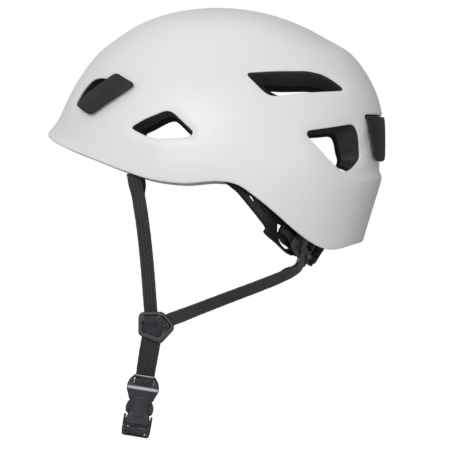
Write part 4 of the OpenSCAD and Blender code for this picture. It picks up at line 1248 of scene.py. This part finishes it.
def pads():
    def on_liner(points, normal):
        away = unit(points - [PLAN_X, 0, 20])
        return (normal * away).sum(1) > BACKED

    def brow_seams(points, held):
        """Sewn channels across the brow pad, pressed towards the liner."""
        a = np.degrees(np.arctan2(points[:, 1], points[:, 0] - PLAN_X)) % 360
        near = np.min([np.abs(a - c) for c in BROW_SEAMS], axis=0)
        press = SEAM_DEPTH * np.exp(-(near / SEAM_WIDTH) ** 2) * ~held
        return points + unit(points - [PLAN_X, 0, 60]) * press[:, None]

    soft_pad("brow_cushion", slab_on_skin([(64, 236), (64, 124), (84, 236), (84, 124)], 60, 9), "brow_pad", "shell",
             on_liner, brow_seams)
    crown = join_parts([slab_on_skin([(136, u - 17), (136, u + 17), (118, u - 11), (118, u + 11)], 12, 10)
                        for u in range(0, 360, 60)])
    soft_pad("crown_cushions", crown, "crown_pad", "shell", on_liner)
    temple = slab_on_skin([(98, -116), (98, -78), (70, -110), (70, -80)], 18, 12)
    verts, faces, _ = swollen(*temple, on_liner)
    temple = verts, faces
    for side in SIDES:
        obj = make_piece(f"temple_cushion_{side}", *on_side(temple, side), "pad_fabric", "shell",
                         [f"temple_pad_{side}"], sharp=180)
        obj.modifiers.new("smooth", "SUBSURF")

    flat = plate(bar_outline(-YOKE_HALF + 3.6, YOKE_HALF - 3.6, YOKE_LOW + 3.6, YOKE_HIGH - 3.6, 4), 3.4, 1.4)

    def on_yoke(points, normal):
        return (normal * in_cradle([[1.0, 0, 0]])[0] - normal * in_cradle([[0.0, 0, 0]])[0]).sum(1) > BACKED

    soft_pad("nape_cushion", rear_facing(flat, 99.4 - 2.1), "cradle_pad", "cradle", on_yoke)


# ---- camera, light and floor
# Strength of the sky from -X to +X, and its share from below to above
SKY_ACROSS = (0.72, 0.22)
SKY_UP = (1.0, 1.05)
FLOOR_R, FLOOR_DROP = 9, 0.09       # metres
LAMPS = [("key", (-0.5, -2.6, 0.8), 1.3, 27), ("fill", (1.1, -2.2, -0.3), 1.5, 20), ("top", (0.0, 0.3, 2.0), 1.5, 4)]


def stage_set():
    cam = add_object("camera", bpy.data.cameras.new("camera"))
    distance, centre_x, centre_z, view_width = 3500, 1.7, -35.7, 391.5
    cam.location = Vector((centre_x, -distance, centre_z)) * MM
    cam.rotation_euler = (math.radians(90), 0, 0)
    cam.data.sensor_width = 36
    cam.data.lens = 36 * distance / view_width
    cam.data.clip_end = 60
    bpy.context.scene.camera = cam

    me = bpy.data.meshes.new("floor")
    floor_z = cad_box[0].z - FLOOR_DROP
    verts = [(FLOOR_R * cosd(a), FLOOR_R * sind(a), floor_z) for a in range(0, 360, 10)]
    me.from_pydata(verts, [], [list(range(36))])
    s = Shader("pale_floor", Roughness=0.9)
    s.bsdf.inputs["Specular IOR Level"].default_value = 0.1
    seen = s.add("LightPath").outputs["Is Camera Ray"]
    s.bsdf.inputs["Emission Color"].default_value = rgb(1, 1, 1)
    s.plug(s.bsdf, "Emission Strength", s.times(seen, 0.9))
    me.materials.append(s.finish(s.mix(s.noise(3, 2), rgb(0.40, 0.40, 0.40), rgb(0.42, 0.42, 0.42))))
    floor = add_object("floor", me)

    world = bpy.data.worlds.new("studio")
    bpy.context.scene.world = world
    world.use_nodes = True
    w = Nodes(world.node_tree)
    sky = w.tree.nodes["Background"]
    set_sockets(sky, {"Color": rgb(1, 1, 1)})
    axes = w.add("SeparateXYZ")
    w.plug(axes, 0, w.add("TexCoord").outputs["Generated"])
    glow = w.times(w.remap(axes.outputs[0], -1, 1, *SKY_ACROSS), w.remap(axes.outputs[2], -1, 1, *SKY_UP))
    w.plug(sky, "Strength", w.math("MAXIMUM", glow, w.add("LightPath").outputs["Is Camera Ray"]))
    for name, place, size, power in LAMPS:
        lamp = bpy.data.lights.new(name, "AREA")
        lamp.shape = "DISK"
        lamp.size = size
        lamp.energy = power
        obj = add_object(name, lamp)
        obj.location = place
        obj.rotation_euler = (Vector((0, 0, 0)) - Vector(place)).to_track_quat("-Z", "Y").to_euler()
    bpy.context.scene.view_settings.view_transform = "Standard"


stage_set()
outer_shell()
foam_liner()
lamp_clips()
webbing()
dividers()
buckle()
arms()
dial()
turned_parts()
pads()
slots = {s["node"]: s["material_slot"] for s in frame["record"]["subparts"]}
for node, obj in frame["nodes"].items():
    obj.data.materials.clear()
    obj.data.materials.append(MATS[slots[node]])
